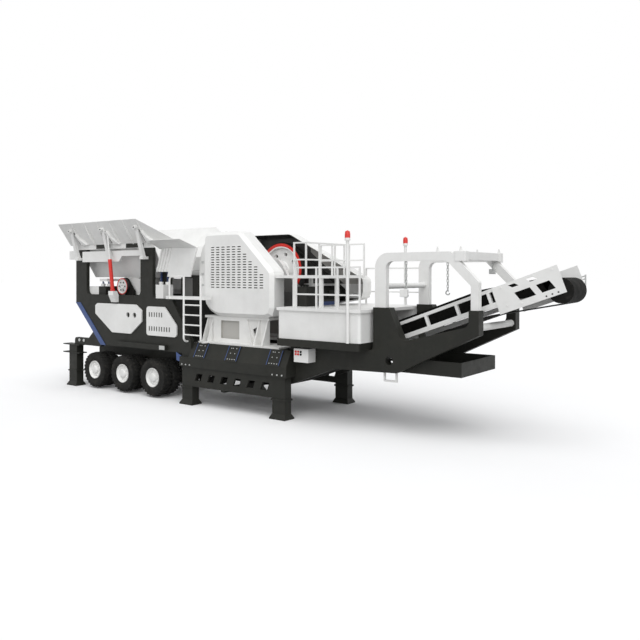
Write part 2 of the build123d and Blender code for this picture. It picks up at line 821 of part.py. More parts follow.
def wing(peak, tip):
    outline = Polyline((WING_REAR, 0), (WING_REAR, WING_LONG), (peak, WING_LONG), (tip, 0), close=True)
    body = extrude(WING_PLANE * make_face(outline), amount=WING_THICK)
    for place in range(WING_RIBS):
        x = WING_RIB_START + place * WING_RIB_PITCH
        slope_share = (tip - x - WING_RIB_THICK) / (tip - peak)
        body += wing_rib(x, WING_LONG * min(1, slope_share))
    return body


def wing_rib(x, reach):
    """Rib up the outside of a wing, tapered over the upper half of its reach."""
    side = [wing_point(0, 0), wing_point(reach, 0), wing_point(reach), wing_point(reach / 2, WING_RIB_DEEP),
            wing_point(0, WING_RIB_DEEP)]
    return end_outline(side, (x, x + WING_RIB_THICK))


def prop(x):
    seat = CHANNEL_THICK if WINDOW_REAR < x < WINDOW_FRONT else 0
    foot_in = -PLATE_OUT_Y - seat
    foot_out = -PLATE_OUT_Y - PROP_FOOT_DEEP
    low, high = [wing_point(share * WING_LONG) for share in PROP_TOP_SHARES]
    middle = (-PLATE_OUT_Y - CHANNEL_THICK + foot_out) / 2
    bar = end_outline([(middle + PROP_WIDE / 2, PROP_FOOT_Z), low, high,
                       (middle - PROP_WIDE / 2, PROP_FOOT_Z)],
                      (x - PROP_WIDE / 2, x + PROP_WIDE / 2))
    foot = block((x - PROP_FOOT_LONG / 2, x + PROP_FOOT_LONG / 2), (foot_out, foot_in),
                 (PROP_FOOT_Z - PROP_FOOT_HIGH, PROP_FOOT_Z))
    return bar + foot


RAM_X = WING_RIB_START + RAM_BAY_SHARE * WING_RIB_PITCH
RAM_START = (-RAM_FOOT_Y, RAM_BRACKET_TOP + RAM_FOOT_HIGH / 2)
RAM_EYE = wing_point(WING_LONG / 2, WING_THICK + RAM_LUG_DEEP / 2)
RAM_SPLIT = [low + RAM_SPLIT_SHARE * (high - low) for low, high in zip(RAM_START, RAM_EYE)]


def ram_bracket():
    toe = (PLATE_OUT_Y + RAM_BRACKET_OUT_Y) / 2
    return end_outline([(-PLATE_OUT_Y, RAM_BRACKET_LOW), (-toe, RAM_BRACKET_LOW),
                        (-RAM_BRACKET_OUT_Y, WINDOW_LOW), (-RAM_BRACKET_OUT_Y, RAM_BRACKET_TOP),
                        (-PLATE_OUT_Y - RAM_RADIUS, RAM_BRACKET_TOP), (-PLATE_OUT_Y, WINDOW_LOW)],
                       (RAM_X - RAM_BRACKET_WIDE / 2, RAM_X + RAM_BRACKET_WIDE / 2))


def ram_barrel():
    foot = block((RAM_X - RAM_FOOT_LONG / 2, RAM_X + RAM_FOOT_LONG / 2),
                 (-RAM_FOOT_Y - RAM_FOOT_LONG / 2, -RAM_FOOT_Y + RAM_FOOT_LONG / 2),
                 (RAM_BRACKET_TOP, RAM_BRACKET_TOP + RAM_FOOT_HIGH))
    return foot + round_bar((RAM_X, *RAM_START), (RAM_X, *RAM_SPLIT), RAM_RADIUS)


def ram_rod():
    rod = round_bar((RAM_X, *RAM_SPLIT), (RAM_X, *RAM_EYE), ROD_RADIUS)
    low = WING_LONG / 2 - RAM_LUG_LONG / 2
    high = WING_LONG / 2 + RAM_LUG_LONG / 2
    lug = end_outline([wing_point(low), wing_point(high), wing_point(high, WING_THICK + RAM_LUG_DEEP),
                       wing_point(low, WING_THICK + RAM_LUG_DEEP)],
                      (RAM_X - RAM_RADIUS, RAM_X + RAM_RADIUS))
    return rod + lug


def hopper_side():
    slab = end_outline([(-HINGE_IN_Y + HOPPER_WALL, HINGE_Z), (-HOPPER_LOW_Y, HOPPER_LOW_Z),
                        (-HOPPER_LOW_Y - HOPPER_WALL, HOPPER_LOW_Z), (-HINGE_IN_Y, HINGE_Z)],
                       (HOPPER_REAR - HOPPER_WALL, HOPPER_FRONT))
    behind = side_outline([(HOPPER_REAR - HOPPER_WALL, HINGE_Z),
                           (HOPPER_REAR + HOPPER_REAR_RUN - HOPPER_WALL, HOPPER_LOW_Z),
                           (HOPPER_REAR - HOPPER_REAR_RUN, HOPPER_LOW_Z),
                           (HOPPER_REAR - HOPPER_REAR_RUN, HINGE_Z)],
                          (-HINGE_OUT_Y, 0))
    return slab - behind


def hopper_rear_wall():
    wall = side_outline([(HOPPER_REAR, HINGE_Z), (HOPPER_REAR + HOPPER_REAR_RUN, HOPPER_LOW_Z),
                         (HOPPER_REAR + HOPPER_REAR_RUN - HOPPER_WALL, HOPPER_LOW_Z),
                         (HOPPER_REAR - HOPPER_WALL, HINGE_Z)], (-HINGE_IN_Y, HINGE_IN_Y))
    top_half = HINGE_IN_Y - HOPPER_WALL - SEAT_GAP
    low_half = HOPPER_LOW_Y - SEAT_GAP
    between = end_outline([(-top_half, HINGE_Z), (-low_half, HOPPER_LOW_Z), (low_half, HOPPER_LOW_Z),
                           (top_half, HINGE_Z)],
                          (HOPPER_REAR - HOPPER_REAR_RUN, HOPPER_FRONT))
    return wall & between


def hopper_channel():
    outline = [(WINDOW_REAR - CHANNEL_LAP, CHANNEL_HIGH), (WINDOW_REAR - CHANNEL_LAP, CHANNEL_LOW),
               (CHANNEL_STEP_X - CHANNEL_LAP, CHANNEL_LOW), (CHANNEL_STEP_X, CHANNEL_STEP_Z),
               (WINDOW_FRONT + CHANNEL_LAP, CHANNEL_STEP_Z), (WINDOW_FRONT + CHANNEL_LAP, CHANNEL_HIGH)]
    return side_outline(outline, (-PLATE_OUT_Y - CHANNEL_THICK, -PLATE_OUT_Y))


hinge_beam = block((PLATE_REAR, COLUMN_FRONT), (-HINGE_OUT_Y, -HINGE_IN_Y), (PLATE_TOP, HINGE_Z))
save("hopper_rails", *mirrored(hinge_beam, hopper_channel()))
save("hopper_wings", wing(WING_PEAK_X, WING_TIP_X),
     mirror(wing(FAR_WING_PEAK_X, FAR_WING_TIP_X), about=Plane.XZ))
prop_places = [WING_RIB_START + share * WING_RIB_PITCH for share in PROP_BAY_SHARES]
save("wing_props", *mirrored(*[prop(x) for x in prop_places]))
save("ram_brackets", *mirrored(ram_bracket()))
save("wing_ram_barrels", *mirrored(ram_barrel()))
save("wing_ram_rods", *mirrored(ram_rod()))
save("hopper_walls", *mirrored(hopper_side()), hopper_rear_wall())


# Vibrating feeder on its springs

def feeder_pan():
    outside = block((PAN_REAR, PAN_FRONT), (-PAN_HALF, PAN_HALF), (PAN_FLOOR, PAN_HIGH))
    inside = block((PAN_REAR + PAN_WALL, PAN_FRONT + CUT_OVER), (-PAN_HALF + PAN_WALL, PAN_HALF - PAN_WALL),
                   (PAN_FLOOR + PAN_WALL, PAN_HIGH + CUT_OVER))
    return outside - inside


def spring_arm(x):
    return block((x - SPRING_SEAT_LONG / 2, x + SPRING_SEAT_LONG / 2),
                 (-SPRING_Y - SPRING_SEAT_HALF, -PAN_HALF), (PAN_FLOOR, PAN_FLOOR + SPRING_BRACKET))


def spring_seat(x):
    """Block inside the side plate, with a nose that stands on the plate's notch."""
    front = x + SPRING_SEAT_LONG / 2
    inner = -PLATE_OUT_Y + PLATE_THICK
    z = (NOTCH_LOW, SPRING_LOW)
    seat = block((x - SPRING_SEAT_LONG / 2, front), (inner, -SPRING_Y + SPRING_SEAT_HALF), z)
    return seat + block((COLUMN_FRONT + WINDOW_ROUND, front), (-PLATE_OUT_Y, inner), z)


def rear_seat():
    """Box on the inner face of a side plate, behind the rear spring beam."""
    front = SPRING_REAR_X - REAR_BEAM_LONG / 2
    return block((front - REAR_SEAT_LONG, front), (-PLATE_OUT_Y + PLATE_THICK, -SPRING_Y + SPRING_SEAT_HALF),
                 (REAR_BEAM_LOW, REAR_BEAM_TOP))


def springs(x, low, high):
    return [Pos(x + side * SPRING_SPACE / 2, -SPRING_Y, (low + high) / 2)
            * Cylinder(SPRING_RADIUS, high - low) for side in (-1, 1)]


def exciter():
    """Exciter box under the pan, with its neck, shaft and the rear arm on the springs."""
    chamfer = EXCITER_CHAMFER
    box = side_outline([(EXCITER_REAR, EXCITER_TOP), (EXCITER_REAR, EXCITER_LOW + chamfer),
                        (EXCITER_REAR + chamfer, EXCITER_LOW), (EXCITER_FRONT - chamfer, EXCITER_LOW),
                        (EXCITER_FRONT, EXCITER_LOW + chamfer), (EXCITER_FRONT, EXCITER_TOP)],
                       (-EXCITER_BOX_SIDE, EXCITER_BOX_SIDE))
    neck = block((EXCITER_X - EXCITER_HALF, EXCITER_X + EXCITER_HALF), (-EXCITER_SIDE, EXCITER_SIDE),
                 (EXCITER_TOP, PAN_FLOOR))
    reach = SPRING_Y + SPRING_SEAT_HALF
    arm = block((SPRING_REAR_X - REAR_BEAM_LONG / 2, EXCITER_REAR), (-reach, reach),
                (REAR_ARM_LOW, EXCITER_TOP))
    shaft = cross_cylinder(EXCITER_X, EXCITER_Z, EXCITER_SHAFT,
                           (-PULLEY_OUT_Y + PULLEY_DISH, -EXCITER_BOX_SIDE))
    return box + [neck, arm, shaft]


def exciter_pulley():
    bore = EXCITER_SHAFT + RUN_GAP
    rim_in = PULLEY_RADIUS - PULLEY_RIM
    dish = PULLEY_OUT_Y - PULLEY_DISH
    profile = [(bore, PULLEY_IN_Y), (PULLEY_RADIUS, PULLEY_IN_Y), (PULLEY_RADIUS, PULLEY_OUT_Y),
               (rim_in, PULLEY_OUT_Y), (rim_in, dish), (PULLEY_HUB, dish), (PULLEY_HUB, PULLEY_OUT_Y),
               (bore, PULLEY_OUT_Y)]
    return spun([(radius, -y) for radius, y in profile], EXCITER_X, EXCITER_Z)


save("feeder_pan", feeder_pan() + mirrored(spring_arm(SPRING_FRONT_X)))
save("spring_seats", *mirrored(spring_seat(SPRING_FRONT_X), rear_seat()))
save("feeder_springs", *mirrored(*springs(SPRING_FRONT_X, SPRING_LOW, PAN_FLOOR),
                                 *springs(SPRING_REAR_X, REAR_BEAM_TOP, REAR_ARM_LOW)))
save("exciter", exciter())
save("exciter_pulley", exciter_pulley())


# Side covers and boards between the hopper and the crusher

def leaned(top, z):
    """X at a height on a leaning edge of a side cover that ends at an X on top."""
    return top - SIDE_COVER_LEAN * (SIDE_COVER_HIGH - z) / (SIDE_COVER_HIGH - SIDE_COVER_LOW)


def side_cover():
    """Leaning cover: a ribbed rear part and a plain, deeper front part."""
    low = SIDE_COVER_LOW
    rear_low = SIDE_COVER_REAR_LOW
    split = SIDE_COVER_TOP_REAR + SIDE_RIBS * SIDE_RIB_PITCH
    outline = [(leaned(SIDE_COVER_TOP_REAR, rear_low), rear_low), (leaned(split, rear_low), rear_low),
               (leaned(split, low), low), (leaned(SIDE_COVER_TOP_FRONT, low), low),
               (SIDE_COVER_TOP_FRONT, SIDE_COVER_HIGH), (SIDE_COVER_TOP_REAR, SIDE_COVER_HIGH)]
    cover = side_outline(outline, (-SIDE_COVER_OUT_Y, -SIDE_COVER_OUT_Y + SIDE_COVER_THICK))
    for place in range(SIDE_RIBS):
        rear = SIDE_COVER_TOP_REAR + place * SIDE_RIB_PITCH
        front = rear + SIDE_RIB_WIDE
        rib = [(leaned(rear, rear_low), rear_low), (leaned(front, rear_low), rear_low),
               (front, SIDE_COVER_HIGH), (rear, SIDE_COVER_HIGH)]
        cover += side_outline(rib, (-SIDE_COVER_OUT_Y - SIDE_RIB_DEEP, -SIDE_COVER_OUT_Y))
    return cover


def side_board():
    inner = -SIDE_COVER_OUT_Y + SIDE_COVER_THICK
    root = SIDE_COVER_HIGH - BOARD_THICK
    points = [(BOARD_REAR, inner, root), (BOARD_REAR, -BOARD_OUT_Y, BOARD_TOP_Z),
              (BOARD_TOP_FRONT, -BOARD_OUT_Y, BOARD_TOP_Z), (BOARD_LOW_FRONT, inner, root)]
    return extrude(make_face(Polyline(*points, close=True)), amount=BOARD_THICK, dir=(0, 0, 1))


save("side_covers", *mirrored(side_cover() + side_board()))


# Crusher bed, stand and body

def stand():
    """Column with a recess in its face, on a web plate that is stiffened by four fins."""
    y = (-STAND_OUT_Y, -STAND_OUT_Y + STAND_THICK)
    web_y = (y[1], y[1] + STAND_WEB)
    column = side_outline([(STAND_REAR, BED_TOP), (STAND_FRONT + STAND_FLARE, BED_TOP),
                           (STAND_FRONT, STAND_HIGH), (STAND_REAR, STAND_HIGH)], y)
    column -= block((STAND_WINDOW_REAR, STAND_WINDOW_FRONT), (y[0] - CUT_OVER, y[1]),
                    (STAND_WINDOW_LOW, STAND_WINDOW_HIGH))
    web = block((FIN_PLACES[0], FIN_PLACES[-1] + FIN_THICK), web_y, (BED_TOP, STAND_HIGH))
    web -= side_outline(WEB_HOLE, (y[0] - CUT_OVER, web_y[1] + CUT_OVER))
    fins = [end_outline([(web_y[0], BED_TOP), (-FIN_LOW_Y, BED_TOP), (-FIN_TOP_Y, STAND_HIGH),
                         (web_y[0], STAND_HIGH)], (x, x + FIN_THICK)) for x in FIN_PLACES]
    return web + [column, *fins]


def crusher_side_wall():
    hump = HOUSING_RADIUS
    outline = [(CRUSHER_REAR, STAND_HIGH + SADDLE_THICK), (CRUSHER_FRONT, STAND_HIGH + SADDLE_THICK),
               (CRUSHER_FRONT, CRUSHER_BACK_TOP), (SHAFT_X + HUMP_FALL, SHAFT_Z - hump / 2),
               (SHAFT_X + hump, SHAFT_Z + hump / 2), (SHAFT_X + hump / 2, SHAFT_Z + hump),
               (SHAFT_X - hump / 2, SHAFT_Z + hump), (SHAFT_X - hump, SHAFT_Z + hump / 2),
               (CRUSHER_REAR, CRUSHER_FEED_TOP)]
    outer = -MOUTH_HALF - CRUSHER_WALL
    wall = side_outline(outline, (outer, -MOUTH_HALF))
    rib_shares = [0.02, 0.3, 0.62, 0.93]
    for share in rib_shares:
        x = CRUSHER_REAR + share * (CRUSHER_FRONT - CRUSHER_REAR)
        wall += block((x, x + CRUSHER_RIB), (outer - CRUSHER_RIB, outer),
                      (STAND_HIGH + SADDLE_THICK, CRUSHER_BACK_TOP))
    return wall - cross_cylinder(SHAFT_X, SHAFT_Z, SHAFT_RADIUS + CRUSHER_RIB / 2,
                                 (outer - CUT_OVER, -MOUTH_HALF + CUT_OVER))


def bearing_housing():
    inner = MOUTH_HALF + CRUSHER_WALL
    ring = cross_cylinder(SHAFT_X, SHAFT_Z, HOUSING_RADIUS, (-inner - HOUSING_LONG, -inner))
    return ring - cross_cylinder(SHAFT_X, SHAFT_Z, SHAFT_RADIUS + SEAT_GAP,
                                 (-inner - HOUSING_LONG - CUT_OVER, -inner + CUT_OVER))


def toothed(points, depth_dir):
    """Jaw liner with upright ridges over its width, from an outline of its section."""
    wide = 2 * MOUTH_HALF - 2 * CUT_OVER
    pitch = wide / JAW_TEETH
    low = -wide / 2
    plate = side_outline(points, (low, -low))
    face = [points[1], points[2]]
    for tooth in range(JAW_TEETH):
        start = low + tooth * pitch + pitch / 4
        ridge = [face[0], face[1], (face[1][0] + depth_dir * JAW_TOOTH, face[1][1]),
                 (face[0][0] + depth_dir * JAW_TOOTH, face[0][1])]
        plate += side_outline(ridge, (start, start + pitch / 2))
    return plate


FIXED_FACE = CRUSHER_REAR + END_WALL + JAW_THICK
CRUSHER_LOW = STAND_HIGH + SADDLE_THICK


def fixed_jaw():
    back = CRUSHER_REAR + END_WALL
    return toothed([(back, JAW_LOW), (FIXED_FACE, JAW_LOW), (FIXED_FACE, CRUSHER_FEED_TOP),
                    (back, CRUSHER_FEED_TOP)], 1)


def swing_jaw():
    top = FIXED_FACE + MOUTH_LONG + JAW_TOOTH
    low = FIXED_FACE + GAP_LONG + 2 * JAW_TOOTH
    liner = toothed([(low + JAW_THICK, JAW_LOW), (low, JAW_LOW), (top, CRUSHER_FEED_TOP),
                     (top + JAW_THICK, CRUSHER_FEED_TOP)], -1)
    width = MOUTH_HALF - CUT_OVER
    back = side_outline([(low + JAW_THICK, JAW_LOW), (top + JAW_THICK, CRUSHER_FEED_TOP),
                         (SHAFT_X, SHAFT_Z + SWING_HEAD), (SHAFT_X + SWING_HEAD, SHAFT_Z),
                         (low + JAW_THICK + SWING_THICK, JAW_LOW)], (-width, width))
    bore = cross_cylinder(SHAFT_X, SHAFT_Z, SHAFT_RADIUS + SEAT_GAP, (-MOUTH_HALF, MOUTH_HALF))
    return liner + back - bore


def flywheel():
    inner = FLYWHEEL_IN_Y
    outer = FLYWHEEL_IN_Y + FLYWHEEL_WIDE
    middle = (inner + outer) / 2
    rim_in = FLYWHEEL_RADIUS - FLYWHEEL_RIM
    bore = SHAFT_RADIUS + RUN_GAP
    web = FLYWHEEL_WEB / 2
    profile = [(bore, inner), (FLYWHEEL_HUB, inner), (FLYWHEEL_HUB, middle - web), (rim_in, middle - web),
               (rim_in, inner), (FLYWHEEL_RADIUS, inner), (FLYWHEEL_RADIUS, outer), (rim_in, outer),
               (rim_in, middle + web), (FLYWHEEL_HUB, middle + web), (FLYWHEEL_HUB, outer), (bore, outer)]
    wheel = spun([(radius, -y) for radius, y in profile], SHAFT_X, SHAFT_Z)
    for place in range(FLYWHEEL_HOLES):
        turn = 2 * pi * place / FLYWHEEL_HOLES + FLYWHEEL_HOLE_TURN
        x = SHAFT_X + FLYWHEEL_HOLE_RING * cos(turn)
        z = SHAFT_Z + FLYWHEEL_HOLE_RING * sin(turn)
        wheel -= cross_cylinder(x, z, FLYWHEEL_HOLE, (-outer, -inner))
    return wheel


bed = block((BED_REAR, BED_FRONT), (-BED_OUT_Y, -BED_IN_Y), (SKIRT_TOP, BED_TOP))
saddle = block((CRUSHER_REAR - SADDLE_END, CRUSHER_FRONT + SADDLE_END), (-STAND_OUT_Y, -MOUTH_HALF),
               (STAND_HIGH, CRUSHER_LOW))
save("crusher_stand", *mirrored(stand() + saddle + bed))
save("crusher_side_walls", *mirrored(crusher_side_wall() + bearing_housing()))
save("crusher_end_walls",
     block((CRUSHER_REAR, CRUSHER_REAR + END_WALL), (-MOUTH_HALF, MOUTH_HALF),
           (CRUSHER_LOW, CRUSHER_FEED_TOP)),
     block((CRUSHER_FRONT - END_WALL, CRUSHER_FRONT), (-MOUTH_HALF, MOUTH_HALF),
           (CRUSHER_LOW, CRUSHER_BACK_TOP)))
save("fixed_jaw", fixed_jaw())
save("swing_jaw", swing_jaw())
save("eccentric_shaft", cross_cylinder(SHAFT_X, SHAFT_Z, SHAFT_RADIUS,
                                       (-FLYWHEEL_IN_Y - FLYWHEEL_WIDE, FLYWHEEL_IN_Y + FLYWHEEL_WIDE)))
save("flywheels", *mirrored(flywheel()))


# Guards over the flywheels

def toward(here, there, by):
    """Point at a distance from one point on the way to another."""
    long = hypot(there[0] - here[0], there[1] - here[1])
    return tuple(a + by * (b - a) / long for a, b in zip(here, there))


def softened(points, cuts):
    """Closed outline whose corners are each cut back by a distance, in two short edges."""
    outline = []
    for place, here in enumerate(points):
        before = toward(here, points[place - 1], cuts[place])
        after = toward(here, points[(place + 1) % len(points)], cuts[place])
        middle = tuple((a + 2 * b + c) / 4 for a, b, c in zip(before, here, after))
        outline += [before, middle, after]
    return outline


NEAR_GUARD = softened([(GUARD_REAR, GUARD_TOP), (GUARD_PEAK_X, GUARD_TOP), (GUARD_FRONT, GUARD_SHOULDER_Z),
                       (GUARD_FRONT, GUARD_LOW), (GUARD_TOE_X, GUARD_LOW), (GUARD_REAR, GUARD_TOE_Z)],
                      [GUARD_TOP_CUT, GUARD_PEAK_CUT, GUARD_PEAK_CUT, GUARD_LOW_CUT, GUARD_LOW_CUT,
                       GUARD_LOW_CUT])
FAR_GUARD = softened([(GUARD_REAR, GUARD_TOP), (FAR_GUARD_PEAK_X, GUARD_TOP),
                      (FAR_GUARD_FRONT, FAR_GUARD_NOSE_Z), (FAR_GUARD_FRONT, FAR_GUARD_NOSE_LOW),
                      (GUARD_TOE_X, FAR_GUARD_LOW), (GUARD_REAR, GUARD_TOE_Z)],
                     [GUARD_TOP_CUT, GUARD_PEAK_CUT, GUARD_PEAK_CUT, GUARD_TOP_CUT, GUARD_LOW_CUT,
                      GUARD_LOW_CUT])


def left_normal(start, end):
    """Unit vector to the left of the way from one point to the next."""
    long = hypot(end[0] - start[0], end[1] - start[1])
    return (start[1] - end[1]) / long, (end[0] - start[0]) / long


def mitred(here, first, second, by):
    """Corner moved sideways by a distance, between two edges with these normals."""
    reach = by / (1 + first[0] * second[0] + first[1] * second[1])
    return here[0] + reach * (first[0] + second[0]), here[1] + reach * (first[1] + second[1])


def grown(points, by):
    """Closed outline, given clockwise, moved outward by a distance."""
    ahead = points[1:] + points[:1]
    normals = [left_normal(start, end) for start, end in zip(points, ahead)]
    return [mitred(points[place], normals[place - 1], normals[place], by) for place in range(len(points))]


def guard_prism(points, grow, y):
    return side_outline(grown(points, grow), y)


def guard_face(points, grow, y):
    return make_face(Polyline(*[(px, y, pz) for px, pz in grown(points, grow)], close=True))


def guard_shell(points, face_skin):
    """Hollow guard: bevelled rim and walls, open towards the crusher, face as thick as given."""
    bevel_y = -GUARD_OUT_Y + GUARD_BEVEL
    walls_y = (bevel_y, -GUARD_BACK_Y)
    within = GUARD_BEVEL - GUARD_SKIN
    rim_out = loft([guard_face(points, 0, -GUARD_OUT_Y), guard_face(points, GUARD_BEVEL, bevel_y)])
    rim_in = loft([guard_face(points, -GUARD_SKIN, -GUARD_OUT_Y + face_skin),
                   guard_face(points, within, bevel_y)])
    outer = rim_out + guard_prism(points, GUARD_BEVEL, walls_y)
    return outer - (rim_in + guard_prism(points, within, walls_y))


def louvred_face():
    face = guard_prism(NEAR_GUARD, -GUARD_SKIN, (-GUARD_OUT_Y, -GUARD_OUT_Y + GUARD_SKIN))
    fall = (GUARD_TOP - GUARD_SHOULDER_Z) / (GUARD_FRONT - GUARD_PEAK_X)
    y = (-GUARD_OUT_Y - CUT_OVER, -GUARD_OUT_Y + GUARD_SKIN + CUT_OVER)
    slots = []
    for column in range(LOUVRE_COLUMNS):
        x = LOUVRE_REAR + column * LOUVRE_PITCH_X
        limit = min(GUARD_TOP, GUARD_TOP - (x + LOUVRE_LONG - GUARD_PEAK_X) * fall) - LOUVRE_MARGIN
        heights = [LOUVRE_LOW + row * LOUVRE_PITCH_Z for row in range(LOUVRE_ROWS)]
        slots += [block((x, x + LOUVRE_LONG), y, (z, z + LOUVRE_HIGH)) for z in heights
                  if z + LOUVRE_HIGH < limit]
    return face - slots


far_guard = guard_shell(FAR_GUARD, GUARD_SKIN) - saddle
save("flywheel_guards", guard_shell(NEAR_GUARD, 0), mirror(far_guard, about=Plane.XZ))
save("near_guard_face", louvred_face())


# Drive motor and belts

def belt_hull(grow_wheel, grow_pulley):
    """Outline round the flywheel and the motor pulley, each with an added thickness."""
    wheel = Pos(SHAFT_X, SHAFT_Z) * Circle(FLYWHEEL_RADIUS + grow_wheel)
    pulley = Pos(MOTOR_X, MOTOR_Z) * Circle(MOTOR_PULLEY + grow_pulley)
    return make_hull([wheel.edge(), pulley.edge()])


def drive_belts():
    loop = belt_hull(BELT_CLEAR + BELT_THICK, SEAT_GAP + BELT_THICK) - belt_hull(BELT_CLEAR, SEAT_GAP)
    return extrude(Plane.XZ.offset(-BELT_IN_Y) * loop, amount=BELT_OUT_Y - BELT_IN_Y, dir=(0, 1, 0))


def drive_motor():
    body = cross_cylinder(MOTOR_X, MOTOR_Z, MOTOR_RADIUS, (MOTOR_IN_Y, MOTOR_OUT_Y))
    shaft = cross_cylinder(MOTOR_X, MOTOR_Z, MOTOR_SHAFT, (MOTOR_OUT_Y, BELT_OUT_Y))
    pulley = cross_cylinder(MOTOR_X, MOTOR_Z, MOTOR_PULLEY, (BELT_IN_Y, BELT_OUT_Y))
    foot = block((MOTOR_X - MOTOR_FOOT / 2, MOTOR_X + MOTOR_FOOT / 2),
                 (MOTOR_IN_Y + MOTOR_SHAFT, MOTOR_OUT_Y - MOTOR_SHAFT),
                 (DECK_TOP, MOTOR_Z - MOTOR_RADIUS / 2))
    return body + [shaft, pulley, foot]


save("drive_motor", drive_motor())
save("drive_belts", drive_belts())


# Front frames with tray, steps and cross tubes

def front_frame():
    outline = [(FRAME_HEEL_X, FRAME_BACK_TOP), (FRAME_HEEL_X, FRAME_HEEL_Z), (FRAME_KNEE_X, FRAME_KNEE_Z),
               (FRAME_TOE_X, FRAME_TOE_Z), (FRAME_NOSE_X, FRAME_NOSE_Z), (FRAME_NOSE_X, FRAME_POST_TOP),
               (FRAME_NOSE_X - FRAME_NOSE_POST, FRAME_POST_TOP),
               (FRAME_NOSE_X - FRAME_NOSE_POST, FRAME_DIP_Z), (FRAME_THROAT_X, FRAME_THROAT_Z),
               (FRAME_POST_FRONT, FRAME_POST_TOP), (FRAME_POST_REAR, FRAME_POST_TOP),
               (FRAME_POST_REAR, FRAME_BACK_TOP)]
    rounds = [0, 0, 0, 0, 0, 0, 0, FRAME_ROUND, FRAME_ROUND, 0, 0, FRAME_BACK_ROUND]
    plate = side_outline(outline, (-FRAME_OUT_Y, -FRAME_IN_Y), rounds)
    return plate - cross_cylinder(FRAME_BORE_X, FRAME_BORE_Z, FRAME_BORE,
                                  (-FRAME_OUT_Y - CUT_OVER, -FRAME_IN_Y + CUT_OVER))


def frame_low(x):
    """Height of the lower edge of a front frame between knee and toe."""
    share = (x - FRAME_KNEE_X) / (FRAME_TOE_X - FRAME_KNEE_X)
    return FRAME_KNEE_Z + share * (FRAME_TOE_Z - FRAME_KNEE_Z)


def step():
    low = frame_low(STEP_REAR) - STEP_DROP
    inner = low + STEP_BAR
    left = STEP_REAR + STEP_BAR
    right = STEP_FRONT - STEP_BAR
    middle = -(FRAME_IN_Y + FRAME_OUT_Y) / 2
    return side_outline([(STEP_REAR, frame_low(STEP_REAR)), (STEP_REAR, low), (STEP_FRONT, low),
                         (STEP_FRONT, frame_low(STEP_FRONT)), (right, frame_low(right)), (right, inner),
                         (left, inner), (left, frame_low(left))],
                        (middle - STEP_BAR / 2, middle + STEP_BAR / 2))


def tray():
    outside = block((TRAY_REAR, TRAY_FRONT), (-FRAME_IN_Y, FRAME_IN_Y), (TRAY_LOW, TRAY_HIGH))
    half = FRAME_IN_Y - TRAY_WALL
    return outside - block((TRAY_REAR + TRAY_WALL, TRAY_FRONT - TRAY_WALL), (-half, half),
                           (TRAY_LOW + TRAY_WALL, TRAY_HIGH + CUT_OVER))


arch_tube = cross_cylinder(ARCH_TUBE_X, ARCH_TUBE_Z, ARCH_TUBE_RADIUS, (-ARCH_IN_Y, ARCH_IN_Y))
nose_tube = cross_cylinder(NOSE_TUBE_X, NOSE_TUBE_Z, NOSE_TUBE_RADIUS, (-FRAME_IN_Y, FRAME_IN_Y))
save("front_frames", *mirrored(front_frame()))
save("coupler_tray", tray())


# Cabinets, decks and railings

def rounded_case(outer, inner, z):
    """Case as long as the cabinets, with its two outer upright edges rounded."""
    corners = [(CABINET_REAR, -inner), (CABINET_REAR, -outer), (CABINET_FRONT, -outer),
               (CABINET_FRONT, -inner)]
    return plan_outline(corners, z, [0, CABINET_ROUND, CABINET_ROUND, 0])


cabinet = rounded_case(CABINET_OUT_Y, CABINET_IN_Y, (CABINET_LOW, CABINET_HIGH))
ledge = rounded_case(LEDGE_OUT_Y, FRAME_IN_Y, (LEDGE_LOW, CABINET_LOW))
control_box = block((CONTROL_REAR, CONTROL_REAR + CONTROL_LONG), (-CONTROL_OUT_Y, -FRAME_OUT_Y),
                    (CONTROL_LOW, CONTROL_HIGH))
save("cabinets", *mirrored(cabinet), control_box)
save("cabinet_ledges", *mirrored(ledge))

DECK_HALF = CABINET_OUT_Y + DECK_LAP
UPPER_TOP = UPPER_DECK_LOW + UPPER_DECK_THICK


def upper_deck():
    posts = [block((x - DECK_POST / 2, x + DECK_POST / 2), (y - DECK_POST / 2, y + DECK_POST / 2),
                   (DECK_TOP + SEAT_GAP, UPPER_DECK_LOW)) for x in DECK_POST_PLACES for y in DECK_POST_Y]
    return block((UPPER_DECK_REAR, UPPER_DECK_FRONT), (-UPPER_DECK_NEAR, UPPER_DECK_FAR),
                 (UPPER_DECK_LOW, UPPER_TOP)) + posts


def square_bar(start, end):
    """Square railing tube along one axis between two points."""
    half = RAILING_TUBE / 2
    return block(*[(min(a, b) - half, max(a, b) + half) for a, b in zip(start, end)])


def railing(start, end, base, levels, posts=RAILING_POSTS):
    """Posts with a middle and a top tube, standing on a deck between two places in X and Y."""
    foot = base + RAILING_TUBE / 2
    heights = [base + level - RAILING_TUBE / 2 for level in levels]
    tubes = [square_bar((*start, z), (*end, z)) for z in heights]
    steps = [place / (posts - 1) for place in range(posts)]
    places = [(start[0] + a * (end[0] - start[0]), start[1] + a * (end[1] - start[1])) for a in steps]
    return tubes[0] + tubes[1:] + [square_bar((*place, foot), (*place, heights[1])) for place in places]


def oil_tank():
    """Tank of the wing rams on the walkway, with a filler cap."""
    corners = [(TANK_REAR, -TANK_IN_Y), (TANK_REAR, -TANK_OUT_Y), (TANK_FRONT, -TANK_OUT_Y),
               (TANK_FRONT, -TANK_IN_Y)]
    case = plan_outline(corners, (DECK_TOP, TANK_TOP), TANK_ROUND)
    cap = Cylinder(TANK_CAP_RADIUS, TANK_CAP_HIGH)
    middle_x = (TANK_REAR + TANK_FRONT) / 2
    middle_y = -(TANK_IN_Y + TANK_OUT_Y) / 2
    return case + Pos(middle_x, middle_y, TANK_TOP + TANK_CAP_HIGH / 2) * cap


